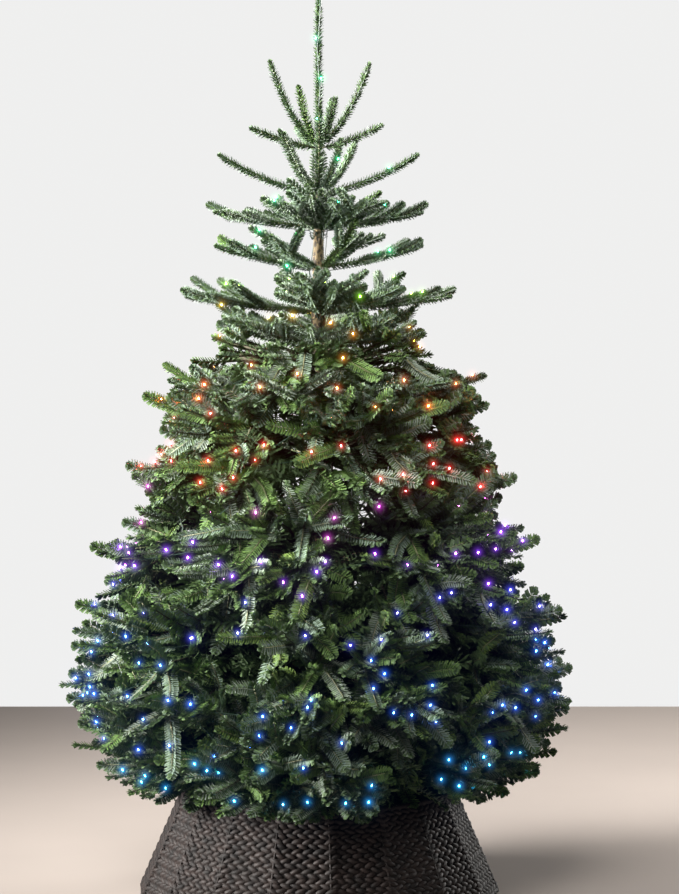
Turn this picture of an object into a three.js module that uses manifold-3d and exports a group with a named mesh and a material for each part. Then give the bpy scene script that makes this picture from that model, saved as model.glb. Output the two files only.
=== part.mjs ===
// A fir Christmas tree, 2.286 m tall, standing in a low woven basket.
// Millimetres, +Z up, +X to the right as seen from the front, the front facing -Y.
// The origin is on the floor, under the trunk's axis.
//
// The trunk is one tapering pole from the holder in the basket to the topmost whorl.
// Above it the crown tip carries the leader and the first ring of shoots.
// Four open whorls of long shoots follow, and then five dense tiers, whose boughs end
// where they enter their masses of foliage. Every mass grows from one stem by a seeded rule.

import * as THREE from "three";
import { mergeVertices } from "three/addons/utils/BufferGeometryUtils.js";
import Module from "manifold-3d";

const wasm = await Module();
wasm.setup();

// Driving dimensions
const TREE_HEIGHT = 2286;
const CLEARANCE = 0.3;

const TRUNK_FOOT_RADIUS = 46;
const TRUNK_TIP_RADIUS = 8;
const TRUNK_TIP_Z = 1878;
const TRUNK_SIDES = 10;
const WHORL_SWELLING = 1.1;
const SWELLING_HALF_LENGTH = 30;

const BASKET_HEIGHT = 270;
const BASKET_FOOT_RADIUS = 464;
const BASKET_RIM_RADIUS = 348;
const BASKET_WALL = 20;
const BASKET_FLOOR_THICKNESS = 12;
const BASKET_ROWS = 12;
const BASKET_GROOVE = 5;
const BASKET_ROW_FACE = 0.5;
const BASKET_PANELS = 18;
const BASKET_TURN = 4.5;

const HOLDER_PLATE_RADIUS = 210;
const HOLDER_PLATE_THICKNESS = 10;
const HOLDER_TUBE_HEIGHT = 190;
const HOLDER_TUBE_WALL = 6;

const SHOOT_RADIUS = 13;
const SHOOT_TOOTH_LENGTH = 58;
const LEADER_TEETH = 8;
const TWIG_RADIUS = 4.5;

// The two shapes of spray: a narrow one on the open whorls' shoots and a broad one in the dense
// crown. widthShare is the width as a share of the length, and teeth counts those on one side.
const FINGER = { widthShare: 0.4, teeth: 2 };
const FAN = { widthShare: 0.56, teeth: 3 };
const SPRAY_THICKNESS_SHARE = 0.08;
const SPRAY_NECK_RADIUS = 3.5;

// How far the dense crown reaches from the trunk's axis, at each height. It steps in between
// the whorls that the long boughs grow from.
const CROWN_OUTLINE = [
  [190, 400],
  [245, 480],
  [305, 560],
  [400, 622],
  [490, 642],
  [560, 650],
  [650, 604],
  [725, 622],
  [795, 542],
  [885, 572],
  [975, 446],
  [1070, 500],
  [1180, 394],
  [1265, 432],
  [1340, 322],
  [1410, 258],
  [1480, 280],
];

// Open whorls from the top down. Angles are in degrees round the trunk from +X, so 270 faces front.
// rise is how far a shoot's tip stands over its root, and bend how late it turns upwards.
const OPEN_WHORLS = [
  { name: "whorl_2", z: 1773, reach: 250, rise: 102, bend: 0.3, angles: [2, 66, 180, 248], fingers: 0 },
  { name: "whorl_3", z: 1692, reach: 262, rise: 38, bend: 0.1, angles: [4, 118, 186, 298], fingers: 5 },
  { name: "whorl_4", z: 1590, reach: 260, rise: 56, bend: 0.2, angles: [356, 62, 178, 240], fingers: 3 },
  { name: "whorl_5", z: 1482, reach: 335, rise: 36, bend: 0, angles: [0, 96, 184, 278], fingers: 6 },
];

// The ring of shoots round the leader's foot: a steep ring and a flatter one
const CROWN_TIP_SHOOTS = [
  { angle: 4, reach: 128, rise: 214, bend: 0.45 },
  { angle: 178, reach: 122, rise: 220, bend: 0.45 },
  { angle: 70, reach: 96, rise: 128, bend: 0.4 },
  { angle: 236, reach: 88, rise: 150, bend: 0.4 },
  { angle: 300, reach: 84, rise: 122, bend: 0.4 },
  { angle: 192, reach: 172, rise: 50, bend: 0.1 },
  { angle: 344, reach: 164, rise: 56, bend: 0.1 },
  { angle: 112, reach: 150, rise: 60, bend: 0.1 },
];

// Dense tiers from the top down. The space of each lies between two cones: floor is the lower
// one's height at the axis, slope how much it rises for each millimetre from the axis, and the
// upper one is the floor of the tier above. turn is the direction of a tier's first mass, and
// rows the number of sprays at each height of a mass, from its top down.
const DENSE_TIERS = [
  { name: "tier_6", floor: 1235, slope: 0.24, turn: 82, masses: 4, rows: [3, 2, 2], bough: false },
  { name: "tier_7", floor: 985, slope: 0.17, turn: 2, masses: 5, rows: [3, 2, 3], bough: false },
  { name: "tier_8", floor: 725, slope: 0.12, turn: 34, masses: 5, rows: [3, 3, 2], bough: true },
  { name: "tier_9", floor: 460, slope: 0.07, turn: 64, masses: 5, rows: [3, 2, 3], bough: true },
  { name: "tier_10", floor: 190, slope: 0, turn: 46, masses: 5, rows: [2, 3, 3], bough: true },
];
const DENSE_CROWN_TOP = { floor: 1415, slope: 0.14 };
const SPACE_MARGIN = 3;
const BOUGH_FOOT_RADIUS = 12;
const BOUGH_TIP_RADIUS = 8;

// The dense heart of a mass. Its distances from the axis are shares of the crown's reach, as the
// bough's length is, and its tip is this share as high and wide as its inner end.
const BOUGH_SHARE = 0.26;
const HEART_START = 0.27;
const HEART_END = 0.66;
const HEART_TIP_SHARE = 0.85;
const HEART_ROUNDNESS = 0.7;
const HEART_SIDES = 8;
const HEART_ROWS = 4;
const HEART_DENT = 0.8;
const SPRAY_ROOT_DEPTH = 0.5;

const MATERIALS = {
  bark: new THREE.MeshStandardMaterial({ color: 0x6b5238, roughness: 0.9, metalness: 0 }),
  needles: new THREE.MeshStandardMaterial({ color: 0x2f4a2c, roughness: 0.6, metalness: 0 }),
  basket: new THREE.MeshStandardMaterial({ color: 0x3a2f2a, roughness: 0.75, metalness: 0 }),
  steel: new THREE.MeshStandardMaterial({ color: 0x24282a, roughness: 0.5, metalness: 0.7 }),
};

// Small numbers

const radians = (degrees) => (degrees * Math.PI) / 180;
const mix = (a, b, t) => a + (b - a) * t;

// A seeded stream of numbers from 0 to 1, the same on every run
function seededRandom(seed) {
  let state = seed >>> 0;
  return () => {
    state = (state + 0x6d2b79f5) >>> 0;
    let t = state;
    t = Math.imul(t ^ (t >>> 15), t | 1);
    t ^= t + Math.imul(t ^ (t >>> 7), t | 61);
    return ((t ^ (t >>> 14)) >>> 0) / 4294967296;
  };
}

function crownReach(z) {
  const points = CROWN_OUTLINE;
  if (z <= points[0][0]) return points[0][1];
  for (let i = 1; i < points.length; i++) {
    const [z0, r0] = points[i - 1];
    const [z1, r1] = points[i];
    if (z <= z1) return mix(r0, r1, (z - z0) / (z1 - z0));
  }
  return points[points.length - 1][1];
}

const trunkFootZ = BASKET_FLOOR_THICKNESS + HOLDER_PLATE_THICKNESS + 2 * CLEARANCE;

function trunkRadius(z) {
  const t = (z - trunkFootZ) / (TRUNK_TIP_Z - trunkFootZ);
  return mix(TRUNK_FOOT_RADIUS, TRUNK_TIP_RADIUS, Math.min(1, Math.max(0, t)));
}

const UP = new THREE.Vector3(0, 0, 1);

// A point at a distance from the trunk's axis, an angle round it and a height
function around(distance, angle, z) {
  return new THREE.Vector3(distance * Math.cos(angle), distance * Math.sin(angle), z);
}

// Solids

function solidOf(geometry) {
  const bare = geometry.clone();
  bare.deleteAttribute("normal");
  bare.deleteAttribute("uv");
  const merged = mergeVertices(bare, 1e-3);
  return new wasm.Manifold(
    new wasm.Mesh({
      numProp: 3,
      vertProperties: new Float32Array(merged.attributes.position.array),
      triVerts: new Uint32Array(merged.index.array),
    }),
  );
}

// Which surface each vertex belongs to, told by one vertex that stands for all of them
function surfacesOf(triangles, count) {
  const parent = Array.from({ length: count }, (_, i) => i);
  const find = (i) => {
    while (parent[i] !== i) i = parent[i] = parent[parent[i]];
    return i;
  };
  for (let i = 0; i < triangles.length; i += 3) {
    parent[find(triangles[i])] = find(triangles[i + 1]);
    parent[find(triangles[i + 1])] = find(triangles[i + 2]);
  }
  return find;
}

// A solid's largest surface: a hollow that joining has sealed is filled, and a scrap is dropped
function geometryOf(solid) {
  const mesh = solid.getMesh();
  const surface = surfacesOf(mesh.triVerts, mesh.vertProperties.length / 3);
  const sizes = new Map();
  mesh.triVerts.forEach((vertex) => sizes.set(surface(vertex), (sizes.get(surface(vertex)) ?? 0) + 1));
  const largest = [...sizes.keys()].reduce((a, b) => (sizes.get(a) >= sizes.get(b) ? a : b));
  const geometry = new THREE.BufferGeometry();
  geometry.setAttribute("position", new THREE.BufferAttribute(mesh.vertProperties, 3));
  geometry.setIndex([...mesh.triVerts].filter((vertex) => surface(vertex) === largest));
  geometry.computeVertexNormals();
  return geometry;
}

function joined(solids) {
  return solids.reduce((whole, piece) => whole.add(piece));
}

// A closed tube along a curve: its radius at each step comes from radii, and both ends are flat
function limb(curve, radii, sides) {
  const steps = radii.length - 1;
  const frames = curve.computeFrenetFrames(steps, false);
  const positions = [];
  const index = [];
  radii.forEach((radius, i) => {
    const centre = curve.getPointAt(i / steps);
    for (let k = 0; k < sides; k++) {
      const a = (2 * Math.PI * k) / sides;
      const p = centre
        .clone()
        .addScaledVector(frames.normals[i], radius * Math.cos(a))
        .addScaledVector(frames.binormals[i], radius * Math.sin(a));
      positions.push(p.x, p.y, p.z);
    }
  });
  for (let i = 0; i < steps; i++) {
    for (let k = 0; k < sides; k++) {
      const a = i * sides + k;
      const b = i * sides + ((k + 1) % sides);
      index.push(a, b, a + sides, b, b + sides, a + sides);
    }
  }
  for (let k = 1; k < sides - 1; k++) {
    index.push(0, k + 1, k);
    index.push(steps * sides, steps * sides + k, steps * sides + k + 1);
  }
  const geometry = new THREE.BufferGeometry();
  geometry.setAttribute("position", new THREE.Float32BufferAttribute(positions, 3));
  geometry.setIndex(index);
  return solidOf(geometry);
}

// A shoot clothed in needles: bare at its root, and then a slim core whose radius steps in
// after each bunch of them
function shoot(curve, radius, teeth, sides) {
  const radii = [TWIG_RADIUS + 1, TWIG_RADIUS];
  for (let i = 0; i < teeth; i++) {
    const taper = i < teeth - 1 ? 1 : 0.8;
    radii.push(radius * taper, 0.66 * radius * taper);
  }
  radii.push(0.3 * radius);
  return limb(curve, radii, sides);
}

// A spray of needles as a toothed blade: flat below, and roofed up to a midrib above.
// It grows from root along direction, with its roof facing up.
function blade(root, direction, up, length, { widthShare, teeth }) {
  const side = [[SPRAY_NECK_RADIUS, 0]];
  for (let i = 0; i < teeth; i++) {
    const t = (i + 1.1) / (teeth + 0.6);
    const width = 0.5 * widthShare * length * Math.sin(Math.PI * t ** 0.75);
    side.push([width, t * length], [0.55 * width, (t + 0.03) * length]);
  }
  side.pop();
  const forward = direction.clone().normalize();
  const right = new THREE.Vector3().crossVectors(forward, up).normalize();
  const normal = new THREE.Vector3().crossVectors(right, forward);
  const basis = new THREE.Matrix4().makeBasis(right, forward, normal).setPosition(root);
  const points = [];
  const add = (x, y, z) => points.push(new THREE.Vector3(x, y, z).applyMatrix4(basis)) - 1;
  const tip = add(0, length, 0);
  const foot = add(0, 0, SPRAY_NECK_RADIUS);
  const crest = add(0, 0.5 * length, SPRAY_THICKNESS_SHARE * length);
  const [a, b] = [1, -1].map((hand) => side.map(([x, y]) => add(hand * x, y, 0)));
  const last = side.length - 1;
  const faces = [
    [a[last], b[last], tip],
    [foot, b[0], a[0]],
    [foot, a[0], a[1]],
    [foot, b[1], b[0]],
    [foot, a[1], crest],
    [foot, crest, b[1]],
    [crest, a[last], tip],
    [crest, tip, b[last]],
  ];
  for (let i = 1; i <= last; i++) faces.push([a[i - 1], b[i - 1], b[i]], [a[i - 1], b[i], a[i]]);
  for (let i = 2; i <= last; i++) faces.push([crest, a[i - 1], a[i]], [crest, b[i], b[i - 1]]);
  const geometry = new THREE.BufferGeometry().setFromPoints(points);
  geometry.setIndex(faces.flat());
  return { solid: solidOf(geometry), points };
}

// Woody parts

// The trunk's outline from its foot up, swollen where each open whorl stands on it.
// extra widens and lengthens it into the space that foliage keeps clear of.
function trunkProfile(extra) {
  const outline = [[trunkRadius(trunkFootZ) + extra, trunkFootZ - extra]];
  const whorls = OPEN_WHORLS.map((whorl) => whorl.z).sort((a, b) => a - b);
  whorls.forEach((z) => {
    [-SWELLING_HALF_LENGTH, 0, SWELLING_HALF_LENGTH].forEach((step) => {
      const swelling = step === 0 ? WHORL_SWELLING : 1;
      outline.push([trunkRadius(z + step) * swelling + extra, z + step]);
    });
  });
  outline.push([TRUNK_TIP_RADIUS + extra, TRUNK_TIP_Z + extra]);
  return [[0, trunkFootZ - extra], ...outline, [0, TRUNK_TIP_Z + extra]];
}

// LatheGeometry turns a profile round Y. This stands it up round Z, with its first corner at an
// angle of start from the front.
function turned(profile, segments, start = 0) {
  const lathe = new THREE.LatheGeometry(
    profile.map(([r, z]) => new THREE.Vector2(r, z)),
    segments,
    start,
  );
  return lathe.rotateX(Math.PI / 2);
}

// Basket and holder

function basketRadius(z) {
  return mix(BASKET_FOOT_RADIUS, BASKET_RIM_RADIUS, z / BASKET_HEIGHT);
}

// Each row of plaits stands out between two grooves, with a flat face in the middle
function basketWallProfile() {
  const row = BASKET_HEIGHT / BASKET_ROWS;
  const outside = [];
  for (let i = 0; i < BASKET_ROWS; i++) {
    outside.push([basketRadius(i * row) - BASKET_GROOVE, i * row]);
    [-0.5, 0.5].forEach((hand) => {
      const z = (i + 0.5 + hand * BASKET_ROW_FACE) * row;
      outside.push([basketRadius(z), z]);
    });
  }
  outside.push([BASKET_RIM_RADIUS - BASKET_GROOVE, BASKET_HEIGHT]);
  const inside = [
    [BASKET_RIM_RADIUS - BASKET_WALL, BASKET_HEIGHT],
    [BASKET_FOOT_RADIUS - BASKET_WALL, 0],
  ];
  return [...outside, ...inside, outside[0]];
}

function basketFloorProfile() {
  const reach = basketRadius(BASKET_FLOOR_THICKNESS) - BASKET_WALL - CLEARANCE;
  return [[0, 0], [reach, 0], [reach, BASKET_FLOOR_THICKNESS], [0, BASKET_FLOOR_THICKNESS]];
}

function holderProfile() {
  const foot = BASKET_FLOOR_THICKNESS + CLEARANCE;
  const top = foot + HOLDER_PLATE_THICKNESS;
  const bore = TRUNK_FOOT_RADIUS + CLEARANCE;
  const outer = bore + HOLDER_TUBE_WALL;
  return [
    [0, foot],
    [HOLDER_PLATE_RADIUS, foot],
    [HOLDER_PLATE_RADIUS, top],
    [outer, top],
    [outer, foot + HOLDER_TUBE_HEIGHT],
    [bore, foot + HOLDER_TUBE_HEIGHT],
    [bore, top],
    [0, top],
  ];
}

// Shoots of the open whorls

function shootCurve(angle, rootZ, reach, rise, bend) {
  const turnAt = mix(0.5, 0.85, bend);
  const liftAtTurn = mix(0.3, 0.42, bend) * rise;
  return new THREE.QuadraticBezierCurve3(
    around(0, angle, rootZ),
    around(turnAt * reach, angle, rootZ + liftAtTurn),
    around(reach, angle, rootZ + rise),
  );
}

// A shoot with sprays on both sides of it. One that points to the front or back is a little
// shorter and steeper than one that points sideways.
function openWhorlMass(whorl, index) {
  const random = seededRandom(1000 * whorl.z + index);
  const angle = radians(whorl.angles[index]);
  const sideways = Math.abs(Math.cos(angle));
  const reach = whorl.reach * mix(mix(0.84, 0.96, random()), 1, sideways ** 4);
  const rise = whorl.rise * mix(1.5, 1, sideways ** 2);
  const curve = shootCurve(angle, whorl.z, reach, rise, whorl.bend);
  const pieces = [shoot(curve, SHOOT_RADIUS, Math.round(reach / SHOOT_TOOTH_LENGTH), 4)];
  for (let i = 0; i < whorl.fingers; i++) {
    const t = mix(0.3, 0.8, (i + 0.5) / whorl.fingers);
    const hand = i % 2 ? 1 : -1;
    const swing = hand * mix(0.65, 0.95, random());
    const direction = curve.getTangentAt(t).applyAxisAngle(UP, swing);
    direction.z += mix(-0.05, 0.4, random());
    const length = mix(0.54, 0.34, t) * reach;
    pieces.push(blade(curve.getPointAt(t), direction, UP, length, FINGER).solid);
  }
  return joined(pieces);
}

// The leader, and the shoots round its foot
function crownTipMass() {
  const foot = TRUNK_TIP_Z + CLEARANCE;
  const leader = new THREE.LineCurve3(new THREE.Vector3(0, 0, foot), new THREE.Vector3(0, 0, TREE_HEIGHT));
  const bare = new THREE.LineCurve3(new THREE.Vector3(0, 0, foot), new THREE.Vector3(0, 0, foot + 60));
  const pieces = [
    limb(bare, [TRUNK_TIP_RADIUS, 0.7 * TRUNK_TIP_RADIUS], 6),
    shoot(leader, SHOOT_RADIUS, LEADER_TEETH, 4),
  ];
  CROWN_TIP_SHOOTS.forEach(({ angle, reach, rise, bend }) => {
    const curve = shootCurve(radians(angle), foot + 12, reach, rise, bend);
    pieces.push(shoot(curve, 0.92 * SHOOT_RADIUS, 4, 3));
  });
  return joined(pieces);
}

// Dense tiers

// The heights of a tier's space at a distance from the axis
function tierLevels(tier, distance) {
  const above = DENSE_TIERS[DENSE_TIERS.indexOf(tier) - 1] ?? DENSE_CROWN_TOP;
  const floor = tier.floor + tier.slope * distance;
  const ceiling = above.floor + above.slope * distance;
  return { floor, ceiling, middle: (floor + ceiling) / 2 };
}

function sectorOf(tier) {
  return (2 * Math.PI) / tier.masses;
}

function massAngle(tier, index) {
  return radians(tier.turn) + sectorOf(tier) * index;
}

function tierNodeZ(tier) {
  return tierLevels(tier, 0).middle - 20;
}

// Whether a point lies in a mass's own space: its sector, between its cones, inside the crown's
// outline and clear of the basket
function inSpace(tier, angle, p) {
  const distance = Math.hypot(p.x, p.y);
  const { floor, ceiling } = tierLevels(tier, distance);
  if (p.z < floor + SPACE_MARGIN || p.z > ceiling - SPACE_MARGIN) return false;
  if (distance > 1.03 * crownReach(p.z)) return false;
  if (p.z < BASKET_HEIGHT + SPACE_MARGIN && distance < basketRadius(p.z) + SPACE_MARGIN) return false;
  const away = Math.atan2(p.y, p.x) - angle;
  const turned = Math.abs(Math.atan2(Math.sin(away), Math.cos(away)));
  return distance * Math.sin(sectorOf(tier) / 2 - turned) > SPACE_MARGIN;
}

function boughCurve(tier, angle) {
  const end = BOUGH_SHARE * crownReach(tierLevels(tier, 0).middle);
  return new THREE.QuadraticBezierCurve3(
    around(0, angle, tierNodeZ(tier)),
    around(0.5 * end, angle, tierNodeZ(tier) + 4),
    around(end, angle, tierLevels(tier, end).middle),
  );
}

// The dense heart of a mass fills the tier's space between two distances
function heartOf(tier, angle) {
  const reach = crownReach(tierLevels(tier, 0).middle);
  const inner = Math.max(HEART_START * reach, trunkRadius(tierNodeZ(tier)) + 30);
  return { tier, angle, inner, outer: HEART_END * reach };
}

// Where a point of the unit ball goes in a heart: x runs outwards, y up and z round the trunk.
// A heart grows slimmer outwards.
function inHeart({ tier, angle, inner, outer }, x, y, z) {
  const fill = (v) => Math.sign(v) * Math.abs(v) ** HEART_ROUNDNESS;
  const along = 0.5 + 0.5 * fill(x);
  const slim = mix(1, HEART_TIP_SHARE, along);
  const distance = mix(inner, outer, along);
  const turn = angle - fill(z) * 0.49 * slim * sectorOf(tier);
  const levels = tierLevels(tier, distance);
  const floor = Math.max(levels.floor, BASKET_HEIGHT);
  return around(distance, turn, mix(floor, levels.ceiling, 0.5 + 0.49 * slim * fill(y)));
}

// A heart's solid is a burr, a ball with every second corner pushed in
function burr(heart) {
  const ball = new THREE.SphereGeometry(1, HEART_SIDES, HEART_ROWS);
  const position = ball.attributes.position;
  for (let i = 0; i < position.count; i++) {
    const column = i % (HEART_SIDES + 1);
    const row = Math.floor(i / (HEART_SIDES + 1));
    const atPole = row === 0 || row === HEART_ROWS;
    const size = !atPole && ((column % HEART_SIDES) + row) % 2 ? HEART_DENT : 1;
    const p = inHeart(heart, size * position.getX(i), size * position.getY(i), size * position.getZ(i));
    position.setXYZ(i, p.x, p.y, p.z);
  }
  return solidOf(ball);
}

// The stem of a mass runs from the trunk, or from its bough's tip, into the middle of its heart
function denseStem(tier, angle, heart) {
  const middle = inHeart(heart, 0, 0, 0);
  const heading = around(1, angle, 0);
  const root = around(0, angle, tierNodeZ(tier));
  if (tier.bough) {
    heading.copy(boughCurve(tier, angle).getTangent(1));
    root.copy(boughCurve(tier, angle).getPoint(1)).addScaledVector(heading, CLEARANCE);
  }
  const bend = root.clone().addScaledVector(heading, 0.4 * root.distanceTo(middle));
  const curve = new THREE.QuadraticBezierCurve3(root, bend, middle);
  return limb(curve, [BOUGH_TIP_RADIUS - 0.5, TWIG_RADIUS + 1, TWIG_RADIUS], 5);
}

function denseMass(tier, index) {
  const angle = massAngle(tier, index);
  const random = seededRandom(7919 * tier.floor + 31 * index);
  const heart = heartOf(tier, angle);
  const pieces = [denseStem(tier, angle, heart), burr(heart)];
  tier.rows.forEach((count, row) => {
    const height = mix(0.75, -0.75, (row + 0.5) / tier.rows.length);
    for (let i = 0; i < count; i++) {
      const across = mix(-0.92, 0.92, (i + mix(0.35, 0.65, random())) / count);
      const spray = sprayFrom(heart, across, height + mix(-0.12, 0.12, random()), random);
      if (spray) pieces.push(spray);
    }
  });
  return joined(pieces);
}

// A spray that stands out of a heart and reaches for the crown's outline. across and height
// place it on the heart, from -1 to 1. One that would leave the mass's space is shortened or skipped.
function sprayFrom(heart, across, height, random) {
  const outwards = Math.sqrt(1 - 0.8 * across ** 2 - 0.8 * height ** 2);
  const [x, y, z] = [outwards, height, across].map((share) => SPRAY_ROOT_DEPTH * share);
  const root = inHeart(heart, x, y, z);
  const turn = Math.atan2(root.y, root.x) - across * mix(0.1, 0.45, random());
  const lift = 0.6 * height + mix(-0.3, 0.12, random());
  const direction = around(1, turn, lift).normalize();
  const up = UP.clone().addScaledVector(around(1, turn + Math.PI / 2, 0), mix(-0.7, 0.7, random()));
  const wanted = 1.03 * crownReach(root.z + lift * 150) - Math.hypot(root.x, root.y);
  for (let length = wanted; length > 0.4 * wanted; length *= 0.93) {
    const { solid, points } = blade(root, direction, up, length, FAN);
    if (points.every((p) => inSpace(heart.tier, heart.angle, p))) return solid;
  }
  return null;
}

// Assembly

const tree = new THREE.Group();

function place(name, geometry, material) {
  const mesh = new THREE.Mesh(geometry, material.clone());
  mesh.name = name;
  tree.add(mesh);
}

const trunkSpace = solidOf(turned(trunkProfile(CLEARANCE), TRUNK_SIDES));
const clearOfTrunk = (solid) => solid.subtract(trunkSpace);

place("trunk", turned(trunkProfile(0), TRUNK_SIDES), MATERIALS.bark);
place("crown_tip", geometryOf(crownTipMass()), MATERIALS.needles);

OPEN_WHORLS.forEach((whorl) => {
  whorl.angles.forEach((_, i) => {
    const mass = clearOfTrunk(openWhorlMass(whorl, i));
    place(`${whorl.name}_shoot_${i + 1}`, geometryOf(mass), MATERIALS.needles);
  });
});

DENSE_TIERS.forEach((tier) => {
  for (let i = 0; i < tier.masses; i++) {
    const angle = massAngle(tier, i);
    if (tier.bough) {
      const radii = [0, 0.5, 1].map((t) => mix(BOUGH_FOOT_RADIUS, BOUGH_TIP_RADIUS, t));
      const bough = clearOfTrunk(limb(boughCurve(tier, angle), radii, 6));
      place(`${tier.name}_bough_${i + 1}`, geometryOf(bough), MATERIALS.bark);
    }
    const mass = clearOfTrunk(denseMass(tier, i));
    place(`${tier.name}_foliage_${i + 1}`, geometryOf(mass), MATERIALS.needles);
  }
});

const basketTurn = radians(BASKET_TURN);
place("basket_wall", turned(basketWallProfile(), BASKET_PANELS, basketTurn), MATERIALS.basket);
place("basket_floor", turned(basketFloorProfile(), BASKET_PANELS, basketTurn), MATERIALS.basket);
place("holder", turned(holderProfile(), TRUNK_SIDES * 2), MATERIALS.steel);

export default tree;
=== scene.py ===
# %% [markdown]
# # A fir Christmas tree in a woven basket
# The tree is a bare pole of a trunk with whorls of boughs. The upper whorls stand apart, so
# daylight shows between them, and the lower ones close up into a thick cone of sprigs.
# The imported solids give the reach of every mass. Here each mass is grown again from the same
# limbs by the same seeded rule, this time down to single needles.

import math

import bpy
import numpy as np
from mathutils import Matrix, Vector


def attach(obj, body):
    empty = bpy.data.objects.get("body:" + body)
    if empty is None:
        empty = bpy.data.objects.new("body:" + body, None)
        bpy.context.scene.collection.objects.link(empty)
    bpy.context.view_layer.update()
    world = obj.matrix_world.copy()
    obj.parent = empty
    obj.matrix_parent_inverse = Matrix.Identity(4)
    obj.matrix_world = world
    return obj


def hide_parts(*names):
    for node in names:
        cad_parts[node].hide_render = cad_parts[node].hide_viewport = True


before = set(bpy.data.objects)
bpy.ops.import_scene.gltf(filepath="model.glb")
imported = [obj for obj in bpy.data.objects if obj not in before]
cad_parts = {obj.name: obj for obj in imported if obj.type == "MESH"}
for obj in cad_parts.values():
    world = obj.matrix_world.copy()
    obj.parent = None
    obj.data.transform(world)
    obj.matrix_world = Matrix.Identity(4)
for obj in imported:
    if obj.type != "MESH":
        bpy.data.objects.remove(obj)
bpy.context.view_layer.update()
nodes = sorted(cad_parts)

# %% [markdown]
# ## Camera
# The photograph was taken with a long lens from about eye height, so upright things stay
# nearly parallel. A camera that is moved close with a short lens would show the basket from
# far more above than the tip, so distance and focal length are matched instead.

# %% Camera
PHOTO_HEIGHT = 894
FOCAL_PIXELS = 2800
EYE = Vector((0.053, -7.11, 1.585))
PITCH_DOWN = math.radians(3.62)

camera_data = bpy.data.cameras.new("camera")
camera_data.lens = FOCAL_PIXELS / PHOTO_HEIGHT * camera_data.sensor_width
camera = bpy.data.objects.new("camera", camera_data)
camera.location = EYE
camera.rotation_euler = (math.pi / 2 - PITCH_DOWN, 0, 0)
bpy.context.scene.collection.objects.link(camera)
bpy.context.scene.camera = camera
print("lens", round(camera_data.lens, 1), "mm")

# %% [markdown]
# ## Shader maths as Python
# Every finish is a small node tree. One class wraps the end of a wire, so that a mask can be
# written as `1 - grain * 0.4` and the nodes appear by themselves. Any other node comes from
# its `node` method, which takes the kind, the settings and what goes into its sockets.


# %% The wire class
class Wire:
    """The loose end of a wire in a node tree. Arithmetic on it adds Math nodes."""

    def __init__(self, tree, socket=None):
        self.tree, self.socket = tree, socket

    def node(self, kind, settings=(), sockets=(), output=0):
        made = self.tree.nodes.new(kind)
        for name, value in dict(settings).items():
            setattr(made, name, value)
        for name, value in dict(sockets).items():
            if isinstance(value, Wire):
                self.tree.links.new(value.socket, made.inputs[name])
            else:
                made.inputs[name].default_value = value
        return Wire(self.tree, made.outputs[output])

    def maths(self, operation, *values):
        return self.node("ShaderNodeMath", {"operation": operation}, dict(enumerate(values)))

    def __add__(self, other):
        return self.maths("ADD", self, other)

    def __radd__(self, other):
        return self.maths("ADD", other, self)

    def __sub__(self, other):
        return self.maths("SUBTRACT", self, other)

    def __rsub__(self, other):
        return self.maths("SUBTRACT", other, self)

    def __mul__(self, other):
        return self.maths("MULTIPLY", self, other)

    def __rmul__(self, other):
        return self.maths("MULTIPLY", other, self)

    def place(self):
        """The point on the surface, in metres."""
        return self.node("ShaderNodeTexCoord", output="Object")

    def grain(self, scale, detail=2.0):
        """Cloudy noise from 0 to 1."""
        return self.node(
            "ShaderNodeTexNoise", {}, {"Vector": self.place(), "Scale": scale, "Detail": detail}
        )

    def between(self, first, second, share):
        """A colour that goes from first to second as share goes from 0 to 1."""
        ends = [(*c, 1) if isinstance(c, tuple) else c for c in (first, second)]
        return self.node(
            "ShaderNodeMix", {"data_type": "RGBA"}, {0: share, 6: ends[0], 7: ends[1]}, 2
        )

    def bumps(self, height, depth, strength):
        return self.node(
            "ShaderNodeBump", {}, {"Height": height, "Distance": depth, "Strength": strength}
        )


def finish(name, recipe):
    """A material whose shader sockets come from recipe(wire)."""
    material = bpy.data.materials.new(name)
    material.use_nodes = True
    tree = material.node_tree
    shader = tree.nodes["Principled BSDF"]
    for socket, value in recipe(Wire(tree)).items():
        if isinstance(value, Wire):
            tree.links.new(value.socket, shader.inputs[socket])
        else:
            shader.inputs[socket].default_value = value
    return material


def shade(colour, share):
    return tuple(share * c for c in colour)


def two_tones(first, second, scale, constants):
    """A recipe in which a cloud mixes two tones, and the other sockets keep one value each."""

    def recipe(wire):
        return {"Base Color": wire.between(first, second, wire.grain(scale)), **constants}

    return recipe


print("wire class ready")

# %% [markdown]
# ## Needle finishes
# A fir shoot is not one green. This year's tips are frosted and a little blue, and the older
# sprigs behind them are a warmer yellow green. The ones deep inside are given an almost black
# shaded green, which is painted shade.
# A colour ramp over the whole crown would look airbrushed, so each sprig is dealt one of a
# few plain greens, and a fine grain only breaks up the gloss along its needles.

# %% Needle finishes
NEEDLE_GREENS = {
    "frosted": (0.137, 0.166, 0.133),
    "bluish": (0.104, 0.142, 0.107),
    "leaf": (0.080, 0.142, 0.034),
    "young": (0.108, 0.168, 0.038),
    # shaded is painted shade: a dark green for needles where the light doesn't reach
    "shaded": (0.044, 0.074, 0.027),
}
DARKER, LIGHTER = 0.78, 1.22


def needle_recipe(green):
    def recipe(wire):
        grain = wire.grain(90)
        return {
            "Base Color": wire.between(shade(green, DARKER), shade(green, LIGHTER), grain),
            "Roughness": 0.5 + 0.2 * grain,
            "Specular IOR Level": 0.22,
        }

    return recipe


needle_finishes = {
    tone: finish(f"needles_{tone}", needle_recipe(green)) for tone, green in NEEDLE_GREENS.items()
}
print(len(needle_finishes), "greens")

# %% [markdown]
# ## Bark and twig finishes
# Young fir bark is smooth and tan, flecked with darker scars where needles have dropped.
# The relief itself is modelled, so the finish only adds the flecks and a fine bump.

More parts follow.
